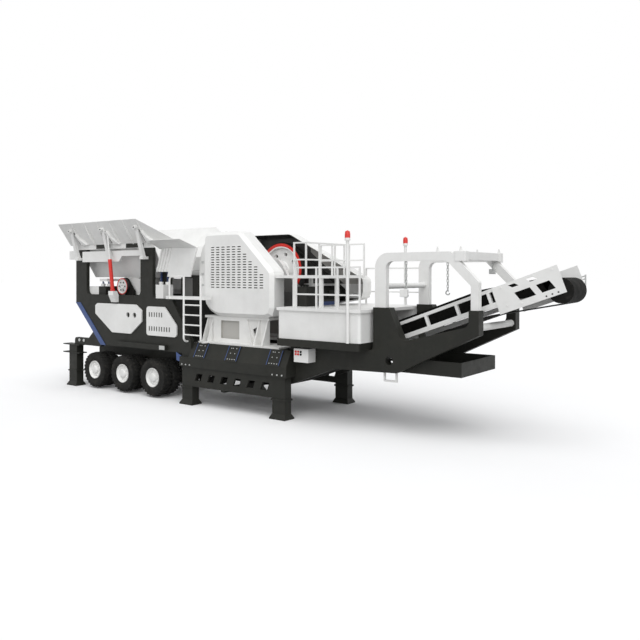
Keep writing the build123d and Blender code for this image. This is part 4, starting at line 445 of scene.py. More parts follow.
class Piece:
    """Collects solids of one material into one mesh, in the plant's own millimetres."""

    def __init__(self, name, material, body="plant", slot=None):
        self.name = name
        self.material = material
        self.body = body
        self.slot = slot
        self.mesh = bmesh.new()

    def solid(self, points, faces):
        """Points, and faces as their numbers."""
        made = [self.mesh.verts.new(at(*point)) for point in points]
        for face in faces:
            self.mesh.faces.new([made[index] for index in face])

    def box(self, x, y, z):
        """Block between two places along each axis."""
        points = [(a, b, c) for c in z for b in y for a in x]
        self.solid(points, BOX_FACES)

    def hull(self, first, second):
        """Solid between two outlines of as many points."""
        count = len(first)
        faces = [tuple(range(count)), tuple(range(2 * count - 1, count - 1, -1))]
        faces += [(k, k + count, (k + 1) % count + count, (k + 1) % count) for k in range(count)]
        self.solid(list(first) + list(second), faces)

    def prism(self, outline, y):
        """Outline in X and Z, between two Y places."""
        self.hull([(a, y[0], c) for a, c in outline], [(a, y[1], c) for a, c in outline])

    def rod(self, start, end, radius, sides=14, tip=None):
        """Round bar between two points; tip is its radius at the end."""
        start, end = Vector(start), Vector(end)
        way = (end - start).normalized()
        across = way.orthogonal().normalized()
        up = way.cross(across)
        turns = [2 * math.pi * k / sides for k in range(sides)]
        spokes = [across * math.cos(turn) + up * math.sin(turn) for turn in turns]
        self.hull([start + spoke * radius for spoke in spokes],
                  [end + spoke * (radius if tip is None else tip) for spoke in spokes])

    def lathe(self, profile, x, z, sides=64):
        """Closed profile of (radius, Y) turned about an axis along Y."""
        points, faces = [], []
        count = len(profile)
        for k in range(sides):
            turn = 2 * math.pi * k / sides
            points += [(x + r * math.cos(turn), y, z + r * math.sin(turn)) for r, y in profile]
            ahead = (k + 1) % sides * count
            faces += [(k * count + j, k * count + (j + 1) % count, ahead + (j + 1) % count, ahead + j)
                      for j in range(count)]
        self.solid(points, faces)

    def coil(self, x, y, z, radius, wire, turns, steps=20, sides=8):
        """Helix about an upright axis, from the first to the second height."""
        total = turns * steps
        spins = [2 * math.pi * j / sides for j in range(sides)]
        up = Vector((0.0, 0.0, 1.0))
        points = []
        for k in range(total + 1):
            turn = 2 * math.pi * k / steps
            out = Vector((math.cos(turn), math.sin(turn), 0.0))
            core = Vector((x, y, z[0] + wire + (z[1] - z[0] - 2 * wire) * k / total)) + out * radius
            points += [core + (out * math.cos(spin) + up * math.sin(spin)) * wire for spin in spins]
        faces = [tuple(range(sides)), tuple(range(total * sides + sides - 1, total * sides - 1, -1))]
        for k in range(total):
            faces += [(k * sides + j, k * sides + (j + 1) % sides, (k + 1) * sides + (j + 1) % sides,
                       (k + 1) * sides + j) for j in range(sides)]
        self.solid(points, faces)

    def bolt(self, x, y, z, radius, way, long):
        """Six-sided head with a washer, standing out from a face."""
        start, way = Vector((x, y, z)), Vector(way)
        seat = start + way * long * WASHER_SHARE
        self.rod(start, seat, radius * WASHER_SPREAD, WASHER_SIDES)
        self.rod(seat, start + way * long, radius, HEXAGON)

    def done(self, smooth=0.0, bevel=0.0, replaces=()):
        """Put the piece in the scene, on its body; smooth is an angle, bevel a width."""
        bmesh.ops.remove_doubles(self.mesh, verts=self.mesh.verts, dist=WELD)
        bmesh.ops.recalc_face_normals(self.mesh, faces=self.mesh.faces)
        data = bpy.data.meshes.new(self.name)
        self.mesh.to_mesh(data)
        self.mesh.free()
        data.materials.append(self.material)
        made = bpy.data.objects.new(self.name, data)
        scene.collection.objects.link(made)
        if bevel:
            edge = made.modifiers.new("edge", "BEVEL")
            edge.width = bevel / MM
            edge.segments = BEVEL_STEPS
            edge.limit_method = "ANGLE"
        if smooth:
            data.shade_smooth()
            data.set_sharp_from_angle(angle=math.radians(smooth))
        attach(made, self.body)
        if replaces:
            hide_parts(*replaces)


SIDES = (-1, 1)


def span(side, inner, outer):
    """Y range between two distances from the middle plane, on one side."""
    return sorted((side * inner, side * outer))


# Wheels: lugged twin tyres on white dished rims

TYRE_PROFILE = [(272, 0.14), (300, 0.06), (360, 0.015), (420, 0.0), (470, 0.02), (500, 0.07), (512, 0.14),
                (516, 0.3), (517, 0.5), (516, 0.7), (512, 0.86), (500, 0.93), (470, 0.98), (420, 1.0),
                (360, 0.985), (300, 0.94), (272, 0.86)]
TYRE_INNER_YS = (760, 1100)
TYRE_WIDE = 300
LUGS = 28
LUG_TURN = 0.115
LUG_LEAN = 0.10
LUG_SHOULDER = (478, 520)
LUG_CROWN = (510, 540)
LUG_SHARES = ((0.97, 0.46), (0.03, 0.54))
TYRE_SIDES = 72
RIM_PROFILE = [(258, 1388), (270, 1384), (270, 1110), (258, 1110), (258, 1240), (120, 1262), (0.5, 1262),
               (0.5, 1394), (52, 1394), (60, 1388), (96, 1386), (116, 1372), (122, 1326), (160, 1320),
               (216, 1316), (236, 1332), (250, 1376)]
INNER_RIM_PROFILE = [(258, 770), (270, 770), (270, 1050), (258, 1050)]
NUTS = 10
NUT_CIRCLE = 175
NUT_FACE_Y = 1318
NUT_RADIUS = 17
NUT_LONG = 30


def tyre_lug(tyre, side, inner, x, z, number):
    """One slanted tread bar, from the shoulder to the middle of the tread."""
    odd = number % 2
    start = math.pi * number / LUGS
    lean = LUG_LEAN if odd else -LUG_LEAN
    shoulder, crown = LUG_SHARES[odd]
    corners = ((start, shoulder, LUG_SHOULDER), (start + LUG_TURN, shoulder, LUG_SHOULDER),
               (start + LUG_TURN + lean, crown, LUG_CROWN), (start + lean, crown, LUG_CROWN))
    low, high = [], []
    for turn, share, (base, top) in corners:
        y = side * (inner + share * TYRE_WIDE)
        low.append((x + base * math.cos(turn), y, z + base * math.sin(turn)))
        high.append((x + top * math.cos(turn), y, z + top * math.sin(turn)))
    tyre.hull(low, high)


def wheel(name, side):
    """Two tyres and their rims with nuts, in place of a CAD wheel."""
    x, _, z = middle(name)
    tyre = Piece(name + "_tyres", tyre_rubber, name, "tyre")
    for inner in TYRE_INNER_YS:
        tyre.lathe([(r, side * (inner + share * TYRE_WIDE)) for r, share in TYRE_PROFILE], x, z, TYRE_SIDES)
        for number in range(2 * LUGS):
            tyre_lug(tyre, side, inner, x, z, number)
    tyre.done(smooth=35, replaces=[name])
    rim = Piece(name + "_rim", white, name, "white")
    for profile in (RIM_PROFILE, INNER_RIM_PROFILE):
        rim.lathe([(r, side * y) for r, y in profile], x, z)
    for nut in range(NUTS):
        turn = 2 * math.pi * nut / NUTS
        spot = (x + NUT_CIRCLE * math.cos(turn), side * NUT_FACE_Y, z + NUT_CIRCLE * math.sin(turn))
        rim.bolt(*spot, NUT_RADIUS, (0, side, 0), NUT_LONG)
    rim.done(smooth=30)


for axle in ("1", "2", "3"):
    wheel("near_wheel_" + axle, -1)
    wheel("far_wheel_" + axle, 1)


# Coil springs under the feeder, with their cups, and dark plates behind them as painted shade

SPRING_Y = 1150
SPRING_RADIUS = 28
SPRING_WIRE = 9
SPRING_SETS = (((-4600, -4320), (3200, 3600), 9), ((-7300, -7020), (3125, 3280), 4))
CUP_HIGH = 80
CUP_RADII = (64, 72)
SPRING_SHADE_XS = (-4700, -4220)
SPRING_SHADE_YS = (1072, 1080)
SPRING_SHADE_ZS = (3205, 3595)

springs = Piece("feeder_coils", blue, slot="blue")
cups = Piece("spring_cups", white, slot="white")
# Dark plates behind the springs: painted shade.
spring_shades = Piece("spring_shade_plates", dark, slot="chassis")
for side in SIDES:
    for spring_xs, (low, high), turns in SPRING_SETS:
        for spring_x in spring_xs:
            springs.coil(spring_x, side * SPRING_Y, (low, high), SPRING_RADIUS, SPRING_WIRE, turns)
            foot, brim = [(spring_x, side * SPRING_Y, z) for z in (low, low + CUP_HIGH)]
            cups.rod(foot, brim, CUP_RADII[0], ROUND_SIDES, CUP_RADII[1])
    spring_shades.box(SPRING_SHADE_XS, span(side, *SPRING_SHADE_YS), SPRING_SHADE_ZS)
springs.done(smooth=60, replaces=["feeder_springs"])
cups.done(smooth=40)
spring_shades.done(bevel=2)


# Girders: bolts, splice edges, leg gussets, arm pins and plates on the long boxes

SKIRT_OUT_Y = 1500
SKIRT_LOW = 1280
SKIRT_RUN = 200.0
SKIRT_RISE = 380.0
SKIRT_LONG = math.hypot(SKIRT_RUN, SKIRT_RISE)
SPLICE_XS = (-2900, -1750, -350)
SPLICE_EDGES = (6, 392)
SPLICE_EDGE_WIDE = 13
SPLICE_EDGE_THICK = 10
SPLICE_EDGE_SHARES = (0.03, 0.97)
SPLICE_THICK = 16
SPLICE_BOLTS = ((0.82, (110, 170, 290)), (0.5, (130, 280)), (0.13, (90, 170, 250, 330)))
SPLICE_BOLT_RADIUS = 10
SPLICE_BOLT_LONG = 14
LEG_XS = (-3200, 0)
LEG_BOLT_OFFSETS = (-150, 0, 150)
LEG_BOLT_Z = 1075
LEG_BOLT_RADIUS = 15
LEG_BOLT_LONG = 18
LEG_GUSSET = [(-3676, 1370), (-3411, 1253), (-3328, 1083), (-3656, 1153)]
LEG_GUSSET_YS = (1405, 1420)
ARM_PIN_XS = (-8170, -7940)
ARM_PIN_Z = 1440
ARM_PIN_RADIUS = 46
ARM_PIN_OUT = 14
PLATE_FACE_Y = extent("side_plates")[1][1]
LONG_BOX_PLATE_X = (-4290, -4070)
LONG_BOX_PLATE_Z = (1405, 1515)
LONG_BOX_PLATE_THICK = 6
LONG_BOX_FACE_Y = extent("long_boxes")[1][1]


def skirt(x, share, out, side):
    """Point on the sloped girder skirt: share of the way up, distance out from it."""
    y = SKIRT_OUT_Y - share * SKIRT_RUN + out * SKIRT_RISE / SKIRT_LONG
    return (x, side * y, SKIRT_LOW + share * SKIRT_RISE + out * SKIRT_RUN / SKIRT_LONG)


bolts = Piece("girder_bolts", grey, slot="white")
edges = Piece("splice_edges", blue, slot="blue")
for side in SIDES:
    outward = (0, side * SKIRT_RISE / SKIRT_LONG, SKIRT_RUN / SKIRT_LONG)
    for splice_x in SPLICE_XS:
        for rear in (splice_x + offset for offset in SPLICE_EDGES):
            front = rear + SPLICE_EDGE_WIDE
            low, high = SPLICE_EDGE_SHARES
            corners = [(rear, low), (front, low), (front, high), (rear, high)]
            edges.hull(*[[skirt(a, b, out, side) for a, b in corners]
                         for out in (SPLICE_THICK, SPLICE_THICK + SPLICE_EDGE_THICK)])
        for share, spread in SPLICE_BOLTS:
            for offset in spread:
                spot = skirt(splice_x + offset, share, SPLICE_THICK, side)
                bolts.bolt(*spot, SPLICE_BOLT_RADIUS, outward, SPLICE_BOLT_LONG)
    for leg_x in LEG_XS:
        for offset in LEG_BOLT_OFFSETS:
            spot = (leg_x + offset, side * SKIRT_OUT_Y, LEG_BOLT_Z)
            bolts.bolt(*spot, LEG_BOLT_RADIUS, (0, side, 0), LEG_BOLT_LONG)
    for pin_x in ARM_PIN_XS:
        start, end = [(pin_x, side * y, ARM_PIN_Z) for y in (PLATE_FACE_Y, PLATE_FACE_Y + ARM_PIN_OUT)]
        bolts.rod(start, end, ARM_PIN_RADIUS, PIN_SIDES)
    edges.prism(LEG_GUSSET, span(side, *LEG_GUSSET_YS))
    plate_y = span(side, LONG_BOX_FACE_Y, LONG_BOX_FACE_Y + LONG_BOX_PLATE_THICK)
    bolts.box(LONG_BOX_PLATE_X, plate_y, LONG_BOX_PLATE_Z)
bolts.done(smooth=30)
edges.done()


# Hopper: prop pins with dark discs on their ends, gussets under the wings with dark sheets beside them,
# dark strips along the hinge rail, boxes at its rear end; the dark discs, sheets and strips are painted
# shade

PROP_XS = (-8050, -6471, -4935)
PROP_HALF = 58
PROP_PIN_YS = (1760, 1868)
PROP_PIN_Z = 4805
PROP_PIN_RADIUS = 52
PROP_BORE_SHADE_RADIUS = 24
PROP_BORE_SHADE_OUT = 3
WING_HINGE = (1450, 4400)
WING_TOP = (1900, 5045)
WING_GUSSET = [(150, 0.05), (95, 0.50), (140, 0.56), (210, 0.30), (420, 0.05)]
WING_GUSSET_DEEP = 95
# Dark sheet beside each prop under the wing: painted shade.
WING_GAP_SHADE = [(0, 0.05), (0, 0.58), (95, 0.50), (150, 0.05)]
WING_GAP_SHADE_DEEP = 26
WING_SHEET = 14
# Dark strips on the hinge rail between the brackets: painted shade.
RAIL_SHADE_XS = ((-7230, -6550), (-5800, -5010))
RAIL_SHADE_ZS = (4262, 4388)
RAIL_SHADE_OUT = 5
RAIL_FACE_Y = 1450
REAR_BOX_X = (-8720, -8350)
REAR_BOX_Z = (3965, 4235)
REAR_BOX_Y = (1290, 1400)


def wing(x, share, out, side):
    """Point under a wing: share of the way from its hinge to its top, distance out from its sheet."""
    run, rise = WING_TOP[0] - WING_HINGE[0], WING_TOP[1] - WING_HINGE[1]
    long = math.hypot(run, rise)
    y = WING_HINGE[0] + share * run + out * rise / long
    return (x, side * y, WING_HINGE[1] + share * rise - out * run / long)


pins = Piece("prop_pins", white, slot="white")
gussets = Piece("hinge_gussets", white, slot="white")
# Dark sheets beside the props under the wings: painted shade.
gap_shades = Piece("hinge_gap_shades", dark, slot="chassis")
# Dark discs on the pin ends: painted shade in their bores.
pin_bore_shades = Piece("prop_pin_bore_shades", dark, slot="chassis")
# Dark strips along the hinge rail: painted shade.
rail_shades = Piece("rail_shade_strips", dark, slot="chassis")
rear_boxes = Piece("rear_boxes", white, slot="white")
for side in SIDES:
    for prop_x in PROP_XS:
        places = (*PROP_PIN_YS, PROP_PIN_YS[1] + PROP_BORE_SHADE_OUT)
        start, end, bore_shade_end = [(prop_x, side * y, PROP_PIN_Z) for y in places]
        pins.rod(start, end, PROP_PIN_RADIUS, PIN_SIDES)
        pin_bore_shades.rod(end, bore_shade_end, PROP_BORE_SHADE_RADIUS, HOLE_SIDES)
        for target, outline, deep in ((gussets, WING_GUSSET, WING_GUSSET_DEEP),
                                      (gap_shades, WING_GAP_SHADE, WING_GAP_SHADE_DEEP)):
            target.hull(*[[wing(prop_x + PROP_HALF + ahead, share, out, side) for ahead, share in outline]
                          for out in (WING_SHEET, deep)])
    for rail_shade_x in RAIL_SHADE_XS:
        rail_shades.box(rail_shade_x, span(side, RAIL_FACE_Y, RAIL_FACE_Y + RAIL_SHADE_OUT), RAIL_SHADE_ZS)
    rear_boxes.box(REAR_BOX_X, span(side, *REAR_BOX_Y), REAR_BOX_Z)
pins.done(smooth=30)
pin_bore_shades.done(smooth=30)
gussets.done(bevel=4)
gap_shades.done()
rail_shades.done(bevel=2)
rear_boxes.done(bevel=14)


# Exciter: belt behind the pulley, and dark discs for the pulley's handling holes as painted shade

BELT_PULLEY_RADIUS = 262
BELT_MOTOR_RADIUS = 125
BELT_MOTOR_AHEAD = 330
BELT_MOTOR_DROP = 190
BELT_MOTOR_X = PULLEY_X + BELT_MOTOR_AHEAD
BELT_MOTOR_Z = PULLEY_Z - BELT_MOTOR_DROP
EXCITER_BELT_YS = (-955, -905)
EXCITER_BELT_STEPS = 16
PULLEY_HOLES = 6
PULLEY_HOLE_CIRCLE = 130
PULLEY_HOLE_RADIUS = 24
PULLEY_HOLE_OUT = 2
PULLEY_FACE_Y = extent("exciter_pulley")[0][1]


def belt_outline():
    """Loop round the pulley and the motor's smaller pulley."""
    lean = math.atan2(BELT_MOTOR_Z - PULLEY_Z, BELT_MOTOR_X - PULLEY_X)
    points = []
    for x, z, radius, start in ((PULLEY_X, PULLEY_Z, BELT_PULLEY_RADIUS, lean + math.pi / 2),
                                (BELT_MOTOR_X, BELT_MOTOR_Z, BELT_MOTOR_RADIUS, lean - math.pi / 2)):
        turns = [start + math.pi * k / EXCITER_BELT_STEPS for k in range(EXCITER_BELT_STEPS + 1)]
        points += [(x + radius * math.cos(turn), z + radius * math.sin(turn)) for turn in turns]
    return points


exciter_belt = Piece("exciter_belt", belt_rubber, slot="belt")
exciter_belt.prism(belt_outline(), EXCITER_BELT_YS)
exciter_belt.done(smooth=30)
# Dark discs for the handling holes: painted shade.
hole_shades = Piece("pulley_hole_shades", dark, "exciter_pulley", "chassis")
for hole in range(PULLEY_HOLES):
    turn = 2 * math.pi * hole / PULLEY_HOLES
    hole_x = PULLEY_X + PULLEY_HOLE_CIRCLE * math.cos(turn)
    hole_z = PULLEY_Z + PULLEY_HOLE_CIRCLE * math.sin(turn)
    start, end = [(hole_x, y, hole_z) for y in (PULLEY_FACE_Y, PULLEY_FACE_Y - PULLEY_HOLE_OUT)]
    hole_shades.rod(start, end, PULLEY_HOLE_RADIUS, HOLE_SIDES)
hole_shades.done(smooth=30)


# Dark blocks in the vents as painted shade, and skirts of the chute between feeder and crusher

VENT_FIRST_X = -4795
VENT_PITCH = 105
VENT_WIDE = 45
VENT_HIGH = 130
VENT_ROWS = ((2295, 6), (1900, 9))
VENT_ROOM = 1
VENT_SHADE_DEEP = 34
CHUTE_X = (-4150, -3000)
CHUTE_Y = (800, 812)
CHUTE_Z = (2850, 3470)
LINER_X = (-4030, -3670)
LINER_Z = (2880, 3390)
LINER_THICK = 10

# Dark blocks in the vents: painted shade.
vent_shades = Piece("vent_shade_blocks", dark, slot="chassis")
chute = Piece("chute_skirts", dark, slot="chassis")
liners = Piece("chute_liners", casting, slot="chassis")
for side in SIDES:
    for vent_z, count in VENT_ROWS:
        for vent in range(count):
            vent_x = VENT_FIRST_X + vent * VENT_PITCH
            vent_shades.box((vent_x + VENT_ROOM, vent_x + VENT_WIDE - VENT_ROOM),
                      span(side, PLATE_FACE_Y, PLATE_FACE_Y + VENT_SHADE_DEEP),
                      (vent_z + VENT_ROOM, vent_z + VENT_HIGH - VENT_ROOM))
    chute.box(CHUTE_X, span(side, *CHUTE_Y), CHUTE_Z)
    liners.box(LINER_X, span(side, CHUTE_Y[1], CHUTE_Y[1] + LINER_THICK), LINER_Z)
vent_shades.done()
chute.done(bevel=3)
liners.done(bevel=3)


# Control box buttons

BUTTON_ZS = (1668, 1606)
BUTTON_XS = (500, 572, 650)
CONTROL_FACE_Y = -1400
COLLAR_RADIUS = 27
COLLAR_OUT = 8
CAP_RADII = (21, 17)
CAP_OUT = 18

red_buttons = Piece("stop_buttons", red, slot="red")
black_buttons = Piece("start_buttons", belt_rubber, slot="belt")
for button_z in BUTTON_ZS:
    for button_x in BUTTON_XS:
        target = black_buttons if button_x == BUTTON_XS[-1] else red_buttons
        places = (CONTROL_FACE_Y, CONTROL_FACE_Y - COLLAR_OUT, CONTROL_FACE_Y - COLLAR_OUT - CAP_OUT)
        foot, collar, cap = [(button_x, y, button_z) for y in places]
        target.rod(foot, collar, COLLAR_RADIUS, ROUND_SIDES)
        target.rod(collar, cap, CAP_RADII[0], ROUND_SIDES, CAP_RADII[1])
red_buttons.done(smooth=40)
black_buttons.done(smooth=40)


# Louvre hoods, a dark sheet behind the slots as painted shade, rear flange and hinges on the near guard

GUARD_FACE_Y = extent("near_guard_face")[0][1]
GUARD_TOP = 4525
GUARD_PEAK_X = -1600
GUARD_FRONT = -540
GUARD_SHOULDER_Z = 3525
GUARD_FALL = (GUARD_TOP - GUARD_SHOULDER_Z) / (GUARD_FRONT - GUARD_PEAK_X)
SLOT_COLUMNS = 10
SLOT_ROWS = 17
SLOT_FIRST_X = -2590
SLOT_PITCH_X = 192
SLOT_LONG = 120
SLOT_FIRST_Z = 3140
SLOT_PITCH_Z = 66
SLOT_HIGH = 28
SLOT_MARGIN = 190
HOOD_OVER = 4
HOOD_SECTION = ((0, 38), (10, 28), (0, 26))
# Dark sheet behind the louvre slots: painted shade.
SHADE_SHEET_X = (-2650, -700)
SHADE_SHEET_LOW = 3100
SHADE_SHEET_TOP = 4365
SHADE_SHEET_FRONT_TOP = SHADE_SHEET_TOP - (SHADE_SHEET_X[1] - GUARD_PEAK_X) * GUARD_FALL
SHADE_SHEET_BEHIND = 14
SHADE_SHEET_THICK = 6
FLANGE = [(-3190, 2870), (-3190, 3830), (-3080, 4210), (-2900, 4440), (-2900, 2870)]
FLANGE_YS = (-1010, -990)
HINGE_XS = (-3100, -3010)
HINGE_OUT = 14
HINGE_SUNK = 2
HINGE_YS = (FLANGE_YS[0] - HINGE_OUT, FLANGE_YS[0] + HINGE_SUNK)
HINGE_ZS = (3829, 3503, 3204)
HINGE_HALF = 32

hoods = Piece("louvre_hoods", white, slot="white")
for column in range(SLOT_COLUMNS):
    slot_x = SLOT_FIRST_X + SLOT_PITCH_X * column
    slope_top = GUARD_TOP - max(0, slot_x + SLOT_LONG - GUARD_PEAK_X) * GUARD_FALL
    hood_xs = (slot_x - HOOD_OVER, slot_x + SLOT_LONG + HOOD_OVER)
    for row in range(SLOT_ROWS):
        slot_z = SLOT_FIRST_Z + SLOT_PITCH_Z * row
        if slot_z + SLOT_HIGH < slope_top - SLOT_MARGIN:
            section = [(GUARD_FACE_Y - out, slot_z + up) for out, up in HOOD_SECTION]
            hoods.hull(*[[(x, y, z) for y, z in section] for x in hood_xs])
hoods.done()
# Dark sheet behind the louvre slots: painted shade.
slot_shade = Piece("louvre_slot_shade", dark, slot="chassis")
slot_shade_y = GUARD_FACE_Y + SHADE_SHEET_BEHIND
slot_shade.prism([(SHADE_SHEET_X[0], SHADE_SHEET_LOW), (SHADE_SHEET_X[1], SHADE_SHEET_LOW), (SHADE_SHEET_X[1], SHADE_SHEET_FRONT_TOP),
              (GUARD_PEAK_X, SHADE_SHEET_TOP), (SHADE_SHEET_X[0], SHADE_SHEET_TOP)], (slot_shade_y, slot_shade_y + SHADE_SHEET_THICK))
slot_shade.done()
flange = Piece("guard_flange", white, slot="white")
flange.prism(FLANGE, FLANGE_YS)
flange.done(bevel=4)
hinges = Piece("guard_hinges", grey, slot="white")
for hinge_z in HINGE_ZS:
    hinges.box(HINGE_XS, HINGE_YS, (hinge_z - HINGE_HALF, hinge_z + HINGE_HALF))
hinges.done(bevel=6)


# Motor fins, end cover and terminal box

MOTOR_X = 180
MOTOR_Z = 2985
MOTOR_RADIUS = 195
MOTOR_YS = (-200, 660)
FINS = 32
FIN_HIGH = 16
FIN_ROOT = -6
FIN_HALF = 4
FIN_END_ROOM = 60
FOOT_TURNS = (-2.5, -0.65)
END_COVER = [(0.5, -40), (120, -40), (190, -12), (203, 50), (180, 50), (0.5, 10)]
END_COVER_SIDES = 48
TERMINAL_X = (190, 235)
TERMINAL_Y = (60, 260)
TERMINAL_Z = (-80, 100)

fins = Piece("motor_fins", dark, slot="chassis")
for fin in range(FINS):
    turn = 2 * math.pi * fin / FINS - math.pi
    if FOOT_TURNS[0] < turn < FOOT_TURNS[1]:
        continue
    out, sideways = (math.cos(turn), math.sin(turn)), (-math.sin(turn), math.cos(turn))
    corners = ((FIN_ROOT, -1), (FIN_ROOT, 1), (FIN_HIGH, 1), (FIN_HIGH, -1))
    ring = [(MOTOR_X + out[0] * (MOTOR_RADIUS + r) + sideways[0] * s * FIN_HALF,
             MOTOR_Z + out[1] * (MOTOR_RADIUS + r) + sideways[1] * s * FIN_HALF) for r, s in corners]
    fins.prism(ring, (MOTOR_YS[0] + FIN_END_ROOM, MOTOR_YS[1] - FIN_END_ROOM))
fins.lathe([(r, MOTOR_YS[0] + y) for r, y in END_COVER], MOTOR_X, MOTOR_Z, END_COVER_SIDES)
fins.box([MOTOR_X + x for x in TERMINAL_X], TERMINAL_Y, [MOTOR_Z + z for z in TERMINAL_Z])
fins.done(smooth=30)


# Conveyor: trough of the belt, head bolts, dark discs for the head holes as painted shade, take-up screws
# on the far side

INCLINE = math.radians(20.0)
BEND_X = -725
BEND_Z = 850
TROUGH_BEND = 5900
TROUGH_ALONGS = (700, TROUGH_BEND, 7150)
HEAD_FALL = math.tan(math.radians(9.0))
TROUGH = [(-432, 318), (-190, 0), (190, 0), (432, 318), (408, 318), (180, 16), (-180, 16), (-408, 318)]
HEAD_REAR = 6230
HEAD_FACE_Y = extent("head_plates")[1][1]
HEAD_BOLTS = ((200, 180), (500, 190), (900, 190), (1290, 180), (200, -200), (500, -250), (1290, -260))
HEAD_BOLT_RADIUS = 13
HEAD_BOLT_LONG = 14
HEAD_HOLES = ((6179, 3069), (6293, 3114), (6410, 3155))
HEAD_HOLE_RADIUS = 17
HEAD_HOLE_SHADE_OUT = 3
SCREW_XS = (6240, 6540)
SCREW_ZS = (3395, 3335)
SCREW_RISE = 70
SCREW_RADIUS = 13
SCREW_OUT = 25
SCREW_Y = HEAD_FACE_Y + SCREW_OUT
SCREW_PLATE_THICK = 20
SCREW_PLATE_OUT = 50
SCREW_PLATE_Z = (3180, 3490)


def incline(along, up, y):
    """Point beside the belt: distance up the slope and out from it."""
    return (BEND_X + along * math.cos(INCLINE) - up * math.sin(INCLINE), y,
            BEND_Z + along * math.sin(INCLINE) + up * math.cos(INCLINE))


trough = Piece("belt_trough", belt_rubber, slot="belt")
sections = []
for along in TROUGH_ALONGS:
    fall = max(0, along - TROUGH_BEND) * HEAD_FALL
    sections.append([incline(along, up - fall, y) for y, up in TROUGH])
for first, second in zip(sections, sections[1:]):
    trough.hull(first, second)
trough.done()
head_bolts = Piece("head_bolts", white, slot="white")
# Dark discs for the holes in the head plates: painted shade.
head_hole_shades = Piece("head_hole_shades", dark, slot="chassis")
take_up = Piece("take_up_screws", grey, slot="steel")
for side in SIDES:
    for along, up in HEAD_BOLTS:
        spot = incline(HEAD_REAR + along, up, side * HEAD_FACE_Y)
        head_bolts.bolt(*spot, HEAD_BOLT_RADIUS, (0, side, 0), HEAD_BOLT_LONG)
    for hole_x, hole_z in HEAD_HOLES:
        start, end = [(hole_x, side * y, hole_z) for y in (HEAD_FACE_Y, HEAD_FACE_Y + HEAD_HOLE_SHADE_OUT)]
        head_hole_shades.rod(start, end, HEAD_HOLE_RADIUS, HOLE_SIDES)
for screw_z in SCREW_ZS:
    take_up.rod((SCREW_XS[0], SCREW_Y, screw_z), (SCREW_XS[1], SCREW_Y, screw_z + SCREW_RISE), SCREW_RADIUS)
take_up.box((SCREW_XS[1] - SCREW_PLATE_THICK, SCREW_XS[1]), (HEAD_FACE_Y, HEAD_FACE_Y + SCREW_PLATE_OUT),
            SCREW_PLATE_Z)
head_bolts.done(smooth=30)
head_hole_shades.done(smooth=30)
take_up.done(smooth=30)


# Arches: lugs, beam end boxes, hoist block and flood lamp

ARCH_TOP = extent("arches")[1][2]
ARCH_MIDDLE_Y = 1010
ARCH_LUG_XS = (4004, 4530)
ARCH_LUG_HIGH = 105
ARCH_LUG_FOOT_HALF = 40
ARCH_LUG_TIP_HALF = 9
ARCH_LUG_THICK_HALF = 12
BEAM_BOX_XS = {-1: (4430, 4670), 1: (4390, 4600)}
BEAM_BOX_Y = (925, 1095)
BEAM_BOX_Z = (3765, 3978)
HOIST_X = (3110, 3290)
HOIST_Y = (-1055, -965)
HOIST_Z = (3000, 3170)
LAMP_X = (4345, 4490)
LAMP_Y = (870, 940)
LAMP_Z = (3500, 3615)
LAMP_POST_RADIUS = 14

lugs = Piece("arch_lugs", white, slot="white")
beam_boxes = Piece("beam_end_boxes", white, slot="white")
for side in SIDES:
    lug_y = span(side, ARCH_MIDDLE_Y - ARCH_LUG_THICK_HALF, ARCH_MIDDLE_Y + ARCH_LUG_THICK_HALF)
    for lug_x in ARCH_LUG_XS:
        tip_z = ARCH_TOP + ARCH_LUG_HIGH
        lugs.prism([(lug_x - ARCH_LUG_FOOT_HALF, ARCH_TOP), (lug_x + ARCH_LUG_FOOT_HALF, ARCH_TOP),
                    (lug_x + ARCH_LUG_TIP_HALF, tip_z), (lug_x - ARCH_LUG_TIP_HALF, tip_z)], lug_y)
    beam_boxes.box(BEAM_BOX_XS[side], span(side, *BEAM_BOX_Y), BEAM_BOX_Z)
lugs.done()
beam_boxes.box(HOIST_X, HOIST_Y, HOIST_Z)
beam_boxes.done(bevel=12)
lamp = Piece("flood_lamp", grey, slot="steel")
lamp.box(LAMP_X, LAMP_Y, LAMP_Z)
lamp_x, lamp_y = sum(LAMP_X) / 2, sum(LAMP_Y) / 2
lamp.rod((lamp_x, lamp_y, LAMP_Z[1]), (lamp_x, lamp_y, BEAM_BOX_Z[0]), LAMP_POST_RADIUS)
lamp.done(bevel=8)


# Floor, surroundings and lamps

FLOOR_HALF = 250.0
FLOOR_SEEN = 0.96
FLOOR_MOTTLE = 0.985
FLOOR_BOUNCE = 0.38
FLOOR_ROUGH = 0.95


def seen(tree):
    """Mask: what the camera, a reflection or glass shows, and not what lights the object."""
    path = tree.nodes.new("ShaderNodeLightPath")
    direct = calc(tree, "MAXIMUM", path.outputs["Is Camera Ray"], path.outputs["Is Transmission Ray"])
    return calc(tree, "MAXIMUM", direct, path.outputs["Is Glossy Ray"])


def floor_material():
    """White to the eye with a trace of mottling; it throws back less light, so undersides stay shaded."""
    material, tree, shader = new_material("floor_white")
    tones = [(0.3, even(FLOOR_SEEN * FLOOR_MOTTLE)), (0.7, even(FLOOR_SEEN))]
    shown = ramp(tree, noise(tree, 0.4, detail=3), tones)
    tree.links.new(mix(tree, seen(tree), even(FLOOR_BOUNCE), shown), shader.inputs["Base Color"])
    shader.inputs["Roughness"].default_value = FLOOR_ROUGH
    shader.inputs["Specular IOR Level"].default_value = 0.0
    return material


floor = bpy.data.objects.new("floor", bpy.data.meshes.new("floor"))
corners = [(-FLOOR_HALF, -FLOOR_HALF, 0.0), (FLOOR_HALF, -FLOOR_HALF, 0.0), (FLOOR_HALF, FLOOR_HALF, 0.0),
           (-FLOOR_HALF, FLOOR_HALF, 0.0)]
floor.data.from_pydata(corners, [], [(0, 1, 2, 3)])
floor.data.materials.append(floor_material())
scene.collection.objects.link(floor)


